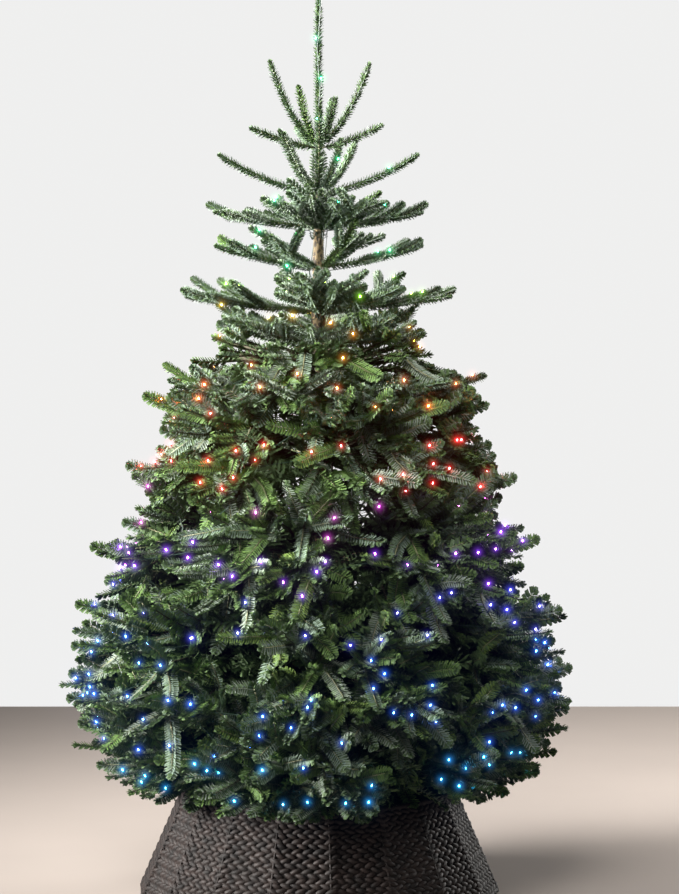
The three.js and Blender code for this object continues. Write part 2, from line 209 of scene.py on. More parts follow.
# %% Bark and twig finishes
BARK_TONES = (0.170, 0.124, 0.058), (0.072, 0.050, 0.025)
BARK_SCAR = (0.020, 0.013, 0.007)
SCAR_SIZE, SCAR_STRENGTH = 0.5, 0.94
TWIG_TONES = (0.040, 0.034, 0.019), (0.020, 0.018, 0.011)
SPRIG_STEM_TONES = (0.17, 0.17, 0.085), (0.10, 0.10, 0.048)


def bark_recipe(wire):
    flecks = wire.node(
        "ShaderNodeTexVoronoi", {"feature": "F1"}, {"Vector": wire.place(), "Scale": 90}
    )
    cloud = wire.grain(40, detail=5)
    scars = wire.maths("LESS_THAN", flecks, SCAR_SIZE)
    plain = wire.between(*BARK_TONES, cloud)
    return {
        "Base Color": wire.between(plain, BARK_SCAR, scars * SCAR_STRENGTH),
        "Roughness": 0.85,
        "Normal": wire.bumps(cloud + flecks * 0.5, 0.002, 0.6),
    }


bark_finish = finish("bark", bark_recipe)
dull = {"Roughness": 0.85, "Specular IOR Level": 0.2}
twig_finish = finish("twig", two_tones(*TWIG_TONES, 60, dull))
sprig_stem_finish = finish("sprig_stem", two_tones(*SPRIG_STEM_TONES, 60, {"Roughness": 0.6}))
print("bark and twigs")

# %% [markdown]
# ## Basket, holder, wire and lamp finishes
# The basket is plaited from flattened stems, stained a dark grey brown that has worn paler
# in patches. The string of lights has a dark green wire and sockets, and each small lamp
# glows in its own colour, set by its height on the tree.

# %% Basket, holder, wire and lamp finishes
STEM_TONES = (0.0165, 0.0100, 0.0082), (0.0036, 0.0023, 0.0020)
LINING_TONES = (0.020, 0.015, 0.013), (0.010, 0.008, 0.007)
STEEL, CABLE_GREEN = (0.03, 0.034, 0.04), (0.012, 0.030, 0.018)
FIBRE_SHADE, SATIN_SHADE = 0.45, 0.8


def stem_recipe(pale, dark):
    def recipe(wire):
        cloud = wire.grain(38)
        fibre = wire.grain(420, detail=3)
        stain = wire.between(pale, dark, cloud * 3 - 1)
        return {
            "Base Color": wire.between(stain, shade(dark, FIBRE_SHADE), fibre * 0.5),
            "Roughness": 0.5 + 0.3 * cloud,
            "Specular IOR Level": 0.2,
            "Normal": wire.bumps(fibre, 0.0012, 0.5),
        }

    return recipe


def satin(colour, constants):
    return two_tones(colour, shade(colour, SATIN_SHADE), 40, {"Roughness": 0.45, **constants})


weave_finish = finish("basket_stems", stem_recipe(*STEM_TONES))
lining_finish = finish("basket_lining", stem_recipe(*LINING_TONES))
steel_finish = finish("holder_steel", satin(STEEL, {"Metallic": 0.7}))
cable_finish = finish("light_cable", satin(CABLE_GREEN, {}))

# The lamps by height: name, the lowest height in metres of that colour, colour and glow
LAMP_COLOURS = [
    ("ice", 2.12, (0.06, 0.80, 0.50), 60),
    ("green", 1.56, (0.035, 0.75, 0.28), 80),
    ("lime", 1.49, (0.30, 0.80, 0.05), 120),
    ("yellow", 1.445, (1.00, 0.58, 0.05), 135),
    ("amber", 1.35, (1.00, 0.34, 0.03), 165),
    ("orange", 1.235, (1.00, 0.15, 0.030), 180),
    ("red", 1.03, (1.00, 0.030, 0.034), 195),
    ("magenta", 0.93, (0.55, 0.040, 0.50), 150),
    ("violet", 0.80, (0.30, 0.060, 1.00), 150),
    ("indigo", 0.68, (0.08, 0.075, 1.00), 120),
    ("blue", 0.40, (0.034, 0.15, 1.00), 105),
    ("azure", 0.00, (0.034, 0.38, 1.00), 85),
]


def lamp_recipe(colour, glow):
    clear = tuple(0.5 + 0.5 * c for c in colour)
    glowing = {"Emission Color": (*colour, 1), "Emission Strength": glow}
    return two_tones(clear, colour, 300, {"Roughness": 0.3, **glowing})


lamp_finishes = {
    name: finish(f"lamp_{name}", lamp_recipe(colour, glow)) for name, _, colour, glow in LAMP_COLOURS
}
print(len(lamp_finishes), "lamp colours")

# %% [markdown]
# ## Joined meshes from arrays
# A million triangles can't be a million objects. Each kind of thing goes into a bundle, a
# growing list of corner and triangle arrays, and a bundle becomes a few meshes at the end.
# Arrays are far quicker than editing tools, and the result is plain geometry.

# %% Bundles
TRIANGLES_PER_PIECE = 190_000
pieces_made = {}


class Bundle:
    """Shapes of one kind, which end up joined."""

    def __init__(self):
        self.parts = []

    def add(self, corners, triangles):
        self.parts.append((np.asarray(corners).reshape(-1, 3), np.asarray(triangles)))

    def triangles(self):
        return sum(len(t) for _, t in self.parts)


def joined_piece(name, parts, material, smooth):
    counts = np.cumsum([0] + [len(c) for c, _ in parts])
    corners = np.concatenate([c for c, _ in parts]).astype(np.float32)
    triangles = np.concatenate([t + n for (_, t), n in zip(parts, counts)]).astype(np.int32)
    mesh = bpy.data.meshes.new(name)
    mesh.vertices.add(len(corners))
    mesh.vertices.foreach_set("co", corners.ravel())
    mesh.loops.add(triangles.size)
    mesh.loops.foreach_set("vertex_index", triangles.ravel())
    mesh.polygons.add(len(triangles))
    mesh.polygons.foreach_set("loop_start", np.arange(0, triangles.size, 3, dtype=np.int32))
    mesh.polygons.foreach_set("use_smooth", np.full(len(triangles), smooth))
    mesh.update(calc_edges=True)
    mesh.materials.append(material)
    piece = bpy.data.objects.new(name, mesh)
    bpy.context.scene.collection.objects.link(piece)
    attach(piece, "root")
    pieces_made[name] = len(triangles)
    return piece


def finished_pieces(bundle, name, material, stands_for=(), smooth=False):
    """A bundle as one mesh, or as several numbered ones where one would be too heavy."""
    shares = math.ceil(bundle.triangles() / TRIANGLES_PER_PIECE)
    limit = bundle.triangles() / shares
    groups, weight = [[]], 0
    for part in bundle.parts:
        if weight > limit:
            groups.append([])
            weight = 0
        groups[-1].append(part)
        weight += len(part[1])
    for i, group in enumerate(groups):
        label = name if len(groups) == 1 else f"{name}_{i + 1}"
        piece = joined_piece(label, group, material, smooth)
        if stands_for:
            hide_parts(*stands_for)


print("bundles ready")

# %% [markdown]
# ## Curves and tubes
# Every limb, twig, wire and stake is a tube along a curve. A quadratic curve has a root, a
# bend and a tip, which is all that a growing shoot needs.

# %% Curves and tubes
UP = np.array([0.0, 0.0, 1.0])
LENGTH_STEPS = 7


def unit(vectors):
    vectors = np.asarray(vectors, float)
    return vectors / np.maximum(np.linalg.norm(vectors, axis=-1, keepdims=True), 1e-9)


def mix(a, b, t):
    return a + (b - a) * t


def around(distance, angle, z):
    return np.array([distance * math.cos(angle), distance * math.sin(angle), z])


def away_from_trunk(point):
    """How far a point is from the trunk's axis."""
    return math.hypot(point[0], point[1])


def outward_at(point):
    """The level direction away from the trunk's axis."""
    return unit(np.array([point[0], point[1], 0]))


def on_curve(curve, t):
    """Points of a quadratic curve, and the directions it runs in there."""
    root, bend, tip = curve
    t = np.asarray(t, float)[..., None]
    points = (1 - t) ** 2 * root + 2 * t * (1 - t) * bend + t**2 * tip
    return points, unit((1 - t) * (bend - root) + t * (tip - bend))


def curve_length(curve):
    points, _ = on_curve(curve, np.linspace(0, 1, LENGTH_STEPS))
    return float(np.linalg.norm(np.diff(points, axis=0), axis=1).sum())


def part_of(curve, start, end):
    """The stretch of a quadratic curve between two of its places."""
    (a, b), _ = on_curve(curve, [start, end])
    root, bend, tip = curve
    middle = (1 - start) * ((1 - end) * root + end * bend) + start * ((1 - end) * bend + end * tip)
    return np.array([a, middle, b])


def turns_round(sides):
    return np.linspace(0, 2 * np.pi, sides, endpoint=False)


def tube(points, radii, sides):
    """A round tube through points, each with its radius, closed at both ends."""
    points = np.asarray(points, float)
    count = len(points)
    along = unit(np.gradient(points, axis=0))
    across = np.cross(along, UP)
    if np.linalg.norm(across, axis=1).min() < 0.2:
        across = np.cross(along, [1.0, 0, 0])
    across = unit(across)
    upward = np.cross(across, along)
    turn = turns_round(sides)
    radii = np.broadcast_to(np.asarray(radii, float).reshape(count, -1), (count, sides))
    ring = np.cos(turn)[None, :, None] * across[:, None] + np.sin(turn)[None, :, None] * upward[:, None]
    corners = points[:, None] + radii[..., None] * ring
    a = (np.arange(count - 1)[:, None] * sides + np.arange(sides)).ravel()
    b = (np.arange(count - 1)[:, None] * sides + (np.arange(sides) + 1) % sides).ravel()
    walls = np.concatenate([np.stack([a, a + sides, b], 1), np.stack([b, a + sides, b + sides], 1)])
    fan = np.arange(1, sides - 1)
    foot = np.stack([np.zeros_like(fan), fan, fan + 1], 1)
    top = np.stack([np.zeros_like(fan), fan + 1, fan], 1) + (count - 1) * sides
    return corners.reshape(-1, 3), np.concatenate([walls, foot, top])


def limb(curve, radii, sides, steps):
    """A tapering tube along a quadratic curve."""
    t = np.linspace(0, 1, steps)
    return tube(on_curve(curve, t)[0], mix(radii[0], radii[1], t), sides)


print("tubes ready")

# %% [markdown]
# ## Needles
# A fir needle is a narrow strip with parallel sides and a blunt tip, a little twisted. Two
# triangles give that outline, and the corners off their shared edge are dropped, so that one
# half catches the light. A habit says how needles sit on a shoot, row by row: the turn round
# the shoot, the lean away from it, their length and the spacing along it. The flat combs of
# the lower sprigs and the round brushes of the open whorls differ only in that. Under the
# rows of lit needles lie a few broad ones in the shaded green. This painted shade keeps the
# gaps between them dark, so they don't show the light behind.


# %% How needles sit on a shoot
def both_sides(turn, lean, long, spacing):
    """A row and its mirror image: turn and lean in degrees, length and spacing in metres."""
    return [(turn, lean, long, spacing), ((180 - turn) % 360, lean, long, spacing)]


def all_round(first, step, lean, long, spacing):
    """Rows at even turns all the way round the shoot."""
    return [(turn, lean, long, spacing) for turn in range(first, first + 360, step)]


COMB = {
    "rows": both_sides(2, 66, 0.0205, 0.0062) + both_sides(42, 52, 0.0140, 0.0062),
    "under": both_sides(338, 64, 0.0190, 0.0125),
    "width": 0.0040,
    "under_width": 0.0145,
    "roundness": 0.2,
}
# A comb further in, with fewer and broader needles
INNER_COMB = {
    "rows": both_sides(4, 66, 0.0200, 0.0078) + both_sides(58, 50, 0.0168, 0.0115),
    "under": both_sides(338, 62, 0.0185, 0.0160),
    "width": 0.0052,
    "under_width": 0.0170,
    "roundness": 0.25,
}
FINGER = {
    "rows": all_round(0, 51, 56, 0.0150, 0.0062),
    "under": all_round(20, 90, 42, 0.0128, 0.0100),
    "width": 0.0038,
    "under_width": 0.0110,
    "roundness": 0.8,
}
BRUSH = {
    "rows": all_round(0, 40, 60, 0.0142, 0.0070),
    "under": all_round(20, 72, 40, 0.0125, 0.0095),
    "width": 0.0034,
    "under_width": 0.0085,
    "roundness": 0.9,
}
# The long sparse needles of the dark sprigs inside
DEEP = {
    "rows": both_sides(0, 58, 0.036, 0.0150) + [(90, 42, 0.030, 0.0200), (270, 45, 0.030, 0.0240)],
    "width": 0.0085,
    "roundness": 0.5,
}
# The scattered needles that last year's wood still has
OLD_WOOD = {
    "rows": both_sides(8, 52, 0.0175, 0.0165) + [(90, 44, 0.0160, 0.0165)],
    "width": 0.0064,
    "roundness": 0.5,
}
print(COMB["rows"][0], "is the first row of a comb")

# %% [markdown]
# ### One shoot's needles at a time
# All needles of a shoot are worked out together, as columns of one table. They shorten and
# lean forward towards its tip, where a little fan of them rounds it off, and a small seeded
# unevenness in every measure keeps the rows from looking combed by a machine.

# %% Needles on a shoot
# Turn, lean and share of the length of the needles that round off a tip, and where they sit
TIP_FAN = [(0, 40, 0.62), (180, 40, 0.62), (90, 40, 0.6), (270, 40, 0.6), (30, 12, 0.74), (210, 12, 0.74)]
TIP_FAN_PLACE = 0.985
# Where a shoot starts to taper and over what share of it, and how much its needles lean less
TAPER_START, TAPER_SPAN, TAPER_LEAN = 0.84, 0.16, 0.4
# The needles at a shoot's root grow to their full length over this share of it
ROOT_LENGTH, ROOT_SPAN = 0.8, 0.12
# The spread of the places along a row, of turn and lean in degrees, and of the length
PLACE_SPREAD, TURN_SPREAD, LEAN_SPREAD, LENGTH_RANGE = 0.08, 4, 1.8, (0.95, 1.04)
# The half-widths of a needle at its root and its tip, as shares of half its width
ROOT_SHARE, TIP_SHARE, TWIST_SHARE = 0.85, 0.6, 0.3
STEM_RADIUS = 0.0016
NEEDLE_TRIANGLES = np.array([[0, 1, 2], [0, 2, 3]])
jitter = np.random.default_rng(7)


def needles_on(curve, face, habit, layer="rows", width="width"):
    """The four corners of each needle of one shoot. face is the side it shows."""
    length = curve_length(curve)
    roundness = habit["roundness"]
    rows = []
    for row, (turn, lean, long, spacing) in enumerate(habit[layer]):
        count = max(2, int(length / spacing))
        phase = 0.4 + 0.2 * (row % 2) + jitter.uniform(-PLACE_SPREAD, PLACE_SPREAD, count)
        t = (np.arange(count) + phase) / count
        rows.append(np.stack([t, *(np.full(count, v) for v in (turn, lean, long))], 1))
    t, turn, lean, long = np.concatenate(rows).T
    near_tip = np.clip((t - TAPER_START) / TAPER_SPAN, 0, 1)
    lean = lean * (1 - TAPER_LEAN * near_tip**1.3)
    long = long * (1 - (0.25 + 0.3 * roundness) * near_tip**2)
    fan = np.array([(TIP_FAN_PLACE, turned, leant, share * long[0]) for turned, leant, share in TIP_FAN])
    t, turn, lean, long = np.concatenate([np.stack([t, turn, lean, long], 1), fan]).T
    count = len(t)
    fullness = mix(ROOT_LENGTH, 1, np.clip(t / ROOT_SPAN, 0, 1))
    turn = np.radians(turn + jitter.normal(0, TURN_SPREAD, count))
    lean = np.radians(lean + jitter.normal(0, LEAN_SPREAD, count))
    long = long * fullness * jitter.uniform(*LENGTH_RANGE, count)
    point, along = on_curve(curve, t)
    side = unit(np.cross(along, face))
    normal = np.cross(side, along)
    spoke = np.cos(turn)[:, None] * side + np.sin(turn)[:, None] * normal
    heading = np.cos(lean)[:, None] * along + np.sin(lean)[:, None] * spoke
    uneven = 0.06 + 0.22 * roundness**2
    facing = mix(normal, spoke, roundness) + jitter.normal(0, uneven, (count, 3))
    broad = unit(np.cross(heading, facing))
    root = point + STEM_RADIUS * spoke
    tip = root + long[:, None] * heading
    half = 0.5 * habit[width]
    drop = TWIST_SHARE * half * np.cross(heading, broad)
    return np.stack(
        [
            root - ROOT_SHARE * half * broad,
            tip - TIP_SHARE * half * broad - drop,
            tip + TIP_SHARE * half * broad,
            root + ROOT_SHARE * half * broad - drop,
        ],
        1,
    )


needles = {tone: Bundle() for tone in NEEDLE_GREENS}


def add_needles(tone, corners):
    triangles = NEEDLE_TRIANGLES[None] + 4 * np.arange(len(corners))[:, None, None]
    needles[tone].add(corners, triangles.reshape(-1, 3))


print(NEEDLE_TRIANGLES.size // 3, "triangles to a needle")

# %% [markdown]
# ### Sprigs
# A sprig is a thin stem with its needles. A few needles, dealt at random, take a darker green
# as painted shade, as if they were turned away from the light. Each sprig is also noted as a
# perch, because a lamp may sit on it later, together with the curves along which its wire can
# run back to the trunk.

# %% Sprigs
twigs = Bundle()
perches = []
# The darker green painted on the odd needles as shade, and how many they are
PAINTED_SHADE_GREEN = {"frosted": "shaded", "bluish": "shaded", "leaf": "shaded", "young": "leaf"}
ODD_SHARE, ODD_SHARE_OF_BRUSH = 0.08, 0.36
# A stem's radius at its root: this much, and this much more for each metre of length
STEM_ROOT_RADIUS, STEM_THICKENING, STEM_END = 0.0012, 0.010, 0.93
PERCH_PLACE, WIRE_START = 0.62, 0.08


def sprig(curve, face, habit, tone, bare=0.0, way=()):
    """A shoot with its needles. bare is the share of it at its root that has none.

    way holds the curves that lead from the trunk to its root.
    """
    curve = np.asarray(curve, float)
    clothed = part_of(curve, bare, 1) if bare else curve
    corners = needles_on(clothed, face, habit)
    # A random few needles take the darker green, which is painted shade
    odd = jitter.random(len(corners)) < (ODD_SHARE_OF_BRUSH if habit is BRUSH else ODD_SHARE)
    add_needles(tone, corners[~odd])
    add_needles(PAINTED_SHADE_GREEN.get(tone, tone), corners[odd])
    # The under needles take the shaded green: painted shade for the gaps between the lit rows
    add_needles("shaded", needles_on(clothed, face, habit, "under", "under_width"))
    radius = STEM_ROOT_RADIUS + STEM_THICKENING * curve_length(curve)
    twigs.add(*limb(part_of(curve, 0, STEM_END), (radius, 0.4 * radius), 3, 3))
    (perch,), _ = on_curve(curve, [PERCH_PLACE])
    perches.append((perch, unit(face), [*way, part_of(curve, WIRE_START, PERCH_PLACE)]))


print("sprigs ready")

# %% [markdown]
# ## The tree's sizes
# These are the sizes and the seeded rule that the solids were grown by, in millimetres as
# there. Repeating them puts every shoot where its solid is.

# %% The tree's sizes and seeded rule
MM = 0.001
TREE_HEIGHT = 2286
CLEARANCE = 0.3
TRUNK_FOOT_RADIUS, TRUNK_TIP_RADIUS = 46, 8
TRUNK_FOOT_Z, TRUNK_TIP_Z = 22.6, 1878
BASKET_HEIGHT, BASKET_FOOT_RADIUS, BASKET_RIM_RADIUS = 270, 464, 348
# Height, and the crown's reach there
CROWN_OUTLINE = np.array(
    [
        [190, 400], [245, 480], [305, 560], [400, 622], [490, 642], [560, 650],
        [650, 604], [725, 622], [795, 542], [885, 572], [975, 446], [1070, 500],
        [1180, 394], [1265, 432], [1340, 322], [1410, 258], [1480, 280],
    ]
)
# Name, height, reach, rise, bend, angles and fingers on each shoot
OPEN_WHORLS = [
    ("whorl_2", 1773, 250, 102, 0.3, (2, 66, 180, 248), 0),
    ("whorl_3", 1692, 262, 38, 0.1, (4, 118, 186, 298), 5),
    ("whorl_4", 1590, 260, 56, 0.2, (356, 62, 178, 240), 3),
    ("whorl_5", 1482, 335, 36, 0.0, (0, 96, 184, 278), 6),
]
# Angle, reach, rise and bend of the shoots round the leader's foot
CROWN_TIP_SHOOTS = [
    (4, 128, 214, 0.45), (178, 122, 220, 0.45),
    (70, 96, 128, 0.4), (236, 88, 150, 0.4), (300, 84, 122, 0.4),
    (192, 172, 50, 0.1), (344, 164, 56, 0.1), (112, 150, 60, 0.1),
]
# Name, floor, slope, turn, masses, sprays in each row, and whether the bough shows
DENSE_TIERS = [
    ("tier_6", 1235, 0.24, 82, 4, (3, 2, 2), False),
    ("tier_7", 985, 0.17, 2, 5, (3, 2, 3), False),
    ("tier_8", 725, 0.12, 34, 5, (3, 3, 2), True),
    ("tier_9", 460, 0.07, 64, 5, (3, 2, 3), True),
    ("tier_10", 190, 0.0, 46, 5, (2, 3, 3), True),
]
DENSE_CROWN_TOP, DENSE_CROWN_SLOPE = 1415, 0.14


def seeded(seed):
    """The seeded stream of numbers from 0 to 1 that the solids were grown by."""
    state = seed

    def draw():
        nonlocal state
        state = (state + 0x6D2B79F5) & 0xFFFFFFFF
        t = ((state ^ (state >> 15)) * (state | 1)) & 0xFFFFFFFF
        t ^= (t + (((t ^ (t >> 7)) * (t | 61)) & 0xFFFFFFFF)) & 0xFFFFFFFF
        return (t ^ (t >> 14)) / 4294967296

    return draw


def read_off(table, place):
    """The second column of a table, read off between its rows."""
    return np.interp(place, *np.array(table).T)


def crown_reach(z):
    return read_off(CROWN_OUTLINE, z)


def trunk_radius(z):
    return read_off([(TRUNK_FOOT_Z, TRUNK_FOOT_RADIUS), (TRUNK_TIP_Z, TRUNK_TIP_RADIUS)], z)


def basket_radius(z):
    return mix(BASKET_FOOT_RADIUS, BASKET_RIM_RADIUS, z / BASKET_HEIGHT)


def shoot_curve(angle, root_z, reach, rise, bend):
    return np.array(
        [
            around(0, angle, root_z),
            around(mix(0.5, 0.85, bend) * reach, angle, root_z + mix(0.3, 0.42, bend) * rise),
            around(reach, angle, root_z + rise),
        ]
    )


print("crown reaches", crown_reach(560), "mm at its widest")

# %% [markdown]
# ## Leader and open whorls
# Above the thick crown each whorl is a ring of long shoots, furred all round like bottle
# brushes. The lower of them carry side sprigs, alternately left and right. The solids have
# the four main shoots of each ring, and the slimmer ones between them are added here.

# %% A furred shoot with side sprigs
OPEN_TONES = {"frosted": 3.5, "bluish": 5, "leaf": 0.6}
# Side sprigs: the stretch of the shoot that has them, their turn away from it in radians,
# their rise, their length near its root and near its tip as a share of it, and their tilt
FINGER_STRETCH, FINGER_TURN, FINGER_RISE = (0.26, 0.82), (0.65, 0.95), (-0.05, 0.4)
FINGER_LENGTH, FINGER_TILT, FINGER_BOW = (0.5, 0.32), (-0.3, 0.3), 0.06


def rolled(vector, axis, angle):
    """vector turned about an axis."""
    axis = unit(axis)
    return (
        vector * math.cos(angle)
        + np.cross(axis, vector) * math.sin(angle)
        + axis * np.dot(axis, vector) * (1 - math.cos(angle))
    )


def dealt_tone(random, weights):
    """One of the greens, dealt by weight."""
    pick = random() * sum(weights.values())
    for tone, weight in weights.items():
        pick -= weight
        if pick <= 0:
            return tone
    return tone


def open_shoot(curve, fingers, random):
    """A furred shoot with side sprigs on it. The curve is in millimetres."""
    curve = curve * MM
    tone = dealt_tone(random, OPEN_TONES)
    reach = curve_length(curve)
    sprig(curve, UP, BRUSH, tone, bare=0.1)
    for i in range(fingers):
        t = mix(*FINGER_STRETCH, (i + 0.5) / fingers)
        hand = 1 if i % 2 else -1
        (root,), (along,) = on_curve(curve, [t])
        direction = rolled(along, UP, hand * mix(*FINGER_TURN, random()))
        direction[2] += mix(*FINGER_RISE, random())
        length = mix(*FINGER_LENGTH, t) * reach
        tip = root + unit(direction) * length
        bend = mix(root, tip, 0.5) + along * FINGER_BOW * length
        face = UP + along * mix(*FINGER_TILT, random())
        way = [part_of(curve, WIRE_START, t)]
        sprig([root, bend, tip], face, FINGER, dealt_tone(random, OPEN_TONES), bare=0.05, way=way)


print(OPEN_TONES, "are the weights of the open whorls' greens")

# %% [markdown]
# ### The rings of shoots
# A shoot that points at the camera or away from it hides its length, so those are a little
# shorter and rise more than the ones at the sides, which draw the tree's outline.

# %% Leader and open whorls
# How many slim shoots stand between the main ones, and their share of the reach
BETWEEN_SHOOTS = {"whorl_2": (1, 0.55), "whorl_3": (4, 0.72), "whorl_4": (4, 0.62), "whorl_5": (5, 0.8)}
BETWEEN_STRAY, BETWEEN_REACH, BETWEEN_LIFT, BETWEEN_DROP = 0.2, (0.85, 1.05), (0.9, 2.2), 4
FRONT_REACH, FRONT_LIFT = (0.84, 0.96), 1.5
# Shoots before the trunk: height, angle, reach, rise, bend and fingers
FRONT_SHOOTS = [
    (1766, 272, 72, 226, 0.7, 0), (1776, 296, 128, 132, 0.4, 0), (1772, 240, 150, 122, 0.4, 0),
    (1690, 264, 205, 92, 0.2, 3), (1686, 284, 190, 70, 0.2, 3), (1478, 258, 230, 96, 0.2, 3),
    (1474, 284, 250, 76, 0.1, 4), (1484, 270, 150, 104, 0.3, 0),
]
# The trunk's youngest wood still has needles: from, to and how many layers of them
TRUNK_NEEDLES = [(1772, 1880, 5), (1700, 1772, 2), (1660, 1700, 1)]
TRUNK_TONES = ("bluish", "leaf", "frosted")
LEADER_TIP_GAP, TIP_SHOOT_LIFT = 14, 12
# Rings of shoots close the top of the thick crown: height, reach, rise, shoots and fingers
CROWN_TOP_RINGS = [(1392, 268, 46, 10, 5), (1262, 400, 26, 12, 7)]
RING_PLACE, RING_REACH, RING_LIFT, RING_STRAY = (0.3, 0.7), (0.84, 1), (0.7, 1.5), (-16, 16)


def upright(low, high):
    """A straight curve up the trunk's axis, in metres."""
    return np.array([[0, 0, low], [0, 0, mix(low, high, 0.5)], [0, 0, high]]) * MM


def grow_open_whorl(name, z, reach, rise, bend, angles, fingers):
    for index, degrees in enumerate(angles):
        random = seeded(1000 * z + index)
        angle = math.radians(degrees)
        sideways = abs(math.cos(angle))
        length = reach * mix(mix(*FRONT_REACH, random()), 1, sideways**4)
        lift = rise * mix(FRONT_LIFT, 1, sideways**2)
        open_shoot(shoot_curve(angle, z, length, lift, bend), fingers, random)
    count, share = BETWEEN_SHOOTS[name]
    random = seeded(1000 * z + 77)
    for i in range(count):
        place = i + 0.5 + mix(-BETWEEN_STRAY, BETWEEN_STRAY, random())
        angle = math.radians(angles[0] + 360 * place / count)
        length = share * reach * mix(*BETWEEN_REACH, random())
        lift = rise * mix(*BETWEEN_LIFT, random())
        curve = shoot_curve(angle, z - BETWEEN_DROP, length, lift, bend)
        open_shoot(curve, max(0, fingers - 2), random)


def grow_front_shoots():
    for z, degrees, reach, rise, bend, fingers in FRONT_SHOOTS:
        curve = shoot_curve(math.radians(degrees), z, reach, rise, bend)
        open_shoot(curve, fingers, seeded(z + degrees))


def grow_crown_tip():
    foot = TRUNK_TIP_Z + CLEARANCE
    random = seeded(TRUNK_TIP_Z)
    leader = np.array(
        [[0, 0, foot], [0, 0, mix(foot, TREE_HEIGHT, 0.5)], [0, 0, TREE_HEIGHT - LEADER_TIP_GAP]]
    )
    sprig(leader * MM, np.array([0, -1.0, 0]), BRUSH, "bluish")
    for degrees, reach, rise, bend in CROWN_TIP_SHOOTS:
        curve = shoot_curve(math.radians(degrees), foot + TIP_SHOOT_LIFT, reach, rise, bend)
        open_shoot(curve, 0, random)


def clothe_trunk():
    for low, high, layers in TRUNK_NEEDLES:
        for layer in range(layers):
            corners = needles_on(upright(low, high), around(1, 1.3 * layer, 0), BRUSH)
            corners += unit(corners[:, :1] * [1, 1, 0]) * trunk_radius(low) * MM
            add_needles(TRUNK_TONES[layer % 3], corners)


def grow_crown_top():
    for z, reach, rise, count, fingers in CROWN_TOP_RINGS:
        random = seeded(z)
        for i in range(count):
            angle = 2 * math.pi * (i + mix(*RING_PLACE, random())) / count
            length = reach * mix(*RING_REACH, random())
            lift = rise * mix(*RING_LIFT, random())
            curve = shoot_curve(angle, z + mix(*RING_STRAY, random()), length, lift, 0.2)
            open_shoot(curve, fingers, random)


grow_crown_tip()
clothe_trunk()
grow_crown_top()
grow_front_shoots()
for whorl in OPEN_WHORLS:
    grow_open_whorl(*whorl)
print(len(perches), "shoots on the open whorls")

# %% [markdown]
# ## The thick crown
# Below the open whorls every mass has a stem, a heart and sprays that stand out to the
# crown's outline. A spray becomes a branch here: a twig with stars of side sprigs, and one
# sprig at its tip. Between the branches that the solids have, more are grown by the same
# rule, a little shorter, so the crown closes up. The heart is filled with sprigs of longer,
# fewer needles in the dark shaded green, a painted shade, because only their gloom is seen.

# %% The spaces of the dense masses
BOUGH_SHARE, HEART_START, HEART_END, HEART_TIP_SHARE = 0.26, 0.27, 0.66, 0.85
HEART_ROUNDNESS, HEART_FILL, SPACE_MARGIN = 0.7, 0.49, 3
HEART_TRUNK_GAP, NODE_DROP = 30, 20
# The sprays may pass the crown's outline by this much
OUTLINE_SHARE = 1.03


def angle_between(first, second):
    """The angle between two headings."""
    return abs(math.atan2(math.sin(first - second), math.cos(first - second)))


class Mass:
    """One mass of foliage of a dense tier, with the space it keeps to."""

    def __init__(self, tier_index, index):
        tier = DENSE_TIERS[tier_index]
        self.name, self.floor, self.slope, turn, masses, self.rows, self.bough = tier
        self.ceiling, self.ceiling_slope = DENSE_CROWN_TOP, DENSE_CROWN_SLOPE
        if tier_index:
            self.ceiling, self.ceiling_slope = DENSE_TIERS[tier_index - 1][1:3]
        self.sector = 2 * math.pi / masses
        self.angle = math.radians(turn) + self.sector * index
        self.random = seeded(7919 * self.floor + 31 * index)
        middle = self.levels(0)[2]
        self.node_z = middle - NODE_DROP
        reach = crown_reach(middle)
        self.inner = max(HEART_START * reach, trunk_radius(self.node_z) + HEART_TRUNK_GAP)
        self.outer = HEART_END * reach
        self.bough_end = BOUGH_SHARE * reach

    def levels(self, distance):
        """The floor, the ceiling and the middle height of the space at a distance."""
        floor = self.floor + self.slope * distance
        ceiling = self.ceiling + self.ceiling_slope * distance
        return floor, ceiling, (floor + ceiling) / 2

    def in_heart(self, x, y, z):
        """Where a point of the unit ball goes: x runs outwards, y up and z round the trunk."""

        def fill(v):
            return math.copysign(abs(v) ** HEART_ROUNDNESS, v)

        along = 0.5 + 0.5 * fill(x)
        slim = mix(1, HEART_TIP_SHARE, along)
        distance = mix(self.inner, self.outer, along)
        turn = self.angle - fill(z) * HEART_FILL * slim * self.sector
        floor, ceiling, _ = self.levels(distance)
        floor = max(floor, BASKET_HEIGHT)
        return around(distance, turn, mix(floor, ceiling, 0.5 + HEART_FILL * slim * fill(y)))

    def holds(self, point):
        distance = away_from_trunk(point)
        floor, ceiling, _ = self.levels(distance)
        if not floor + SPACE_MARGIN <= point[2] <= ceiling - SPACE_MARGIN:
            return False
        if distance > OUTLINE_SHARE * crown_reach(point[2]):
            return False
        wall = basket_radius(point[2])
        if point[2] < BASKET_HEIGHT + SPACE_MARGIN and distance < wall + SPACE_MARGIN:
            return False
        away = angle_between(math.atan2(point[1], point[0]), self.angle)
        return distance * math.sin(self.sector / 2 - away) > SPACE_MARGIN

    def bough_curve(self):
        end = self.bough_end
        return np.array(
            [
                around(0, self.angle, self.node_z),
                around(0.5 * end, self.angle, self.node_z + 4),
                around(end, self.angle, self.levels(end)[2]),
            ]
        )


masses = [Mass(t, i) for t in range(len(DENSE_TIERS)) for i in range(DENSE_TIERS[t][4])]
print(len(masses), "dense masses")

# %% [markdown]
# ### Where the sprays stand
# The solids' own sprays are found again by the same tests in the same order, down to how a
# blade that doesn't fit is shortened. The extra ones skip the tests: they are only held to a
# share of the outline, so they may lean over the seam between two masses and close it.

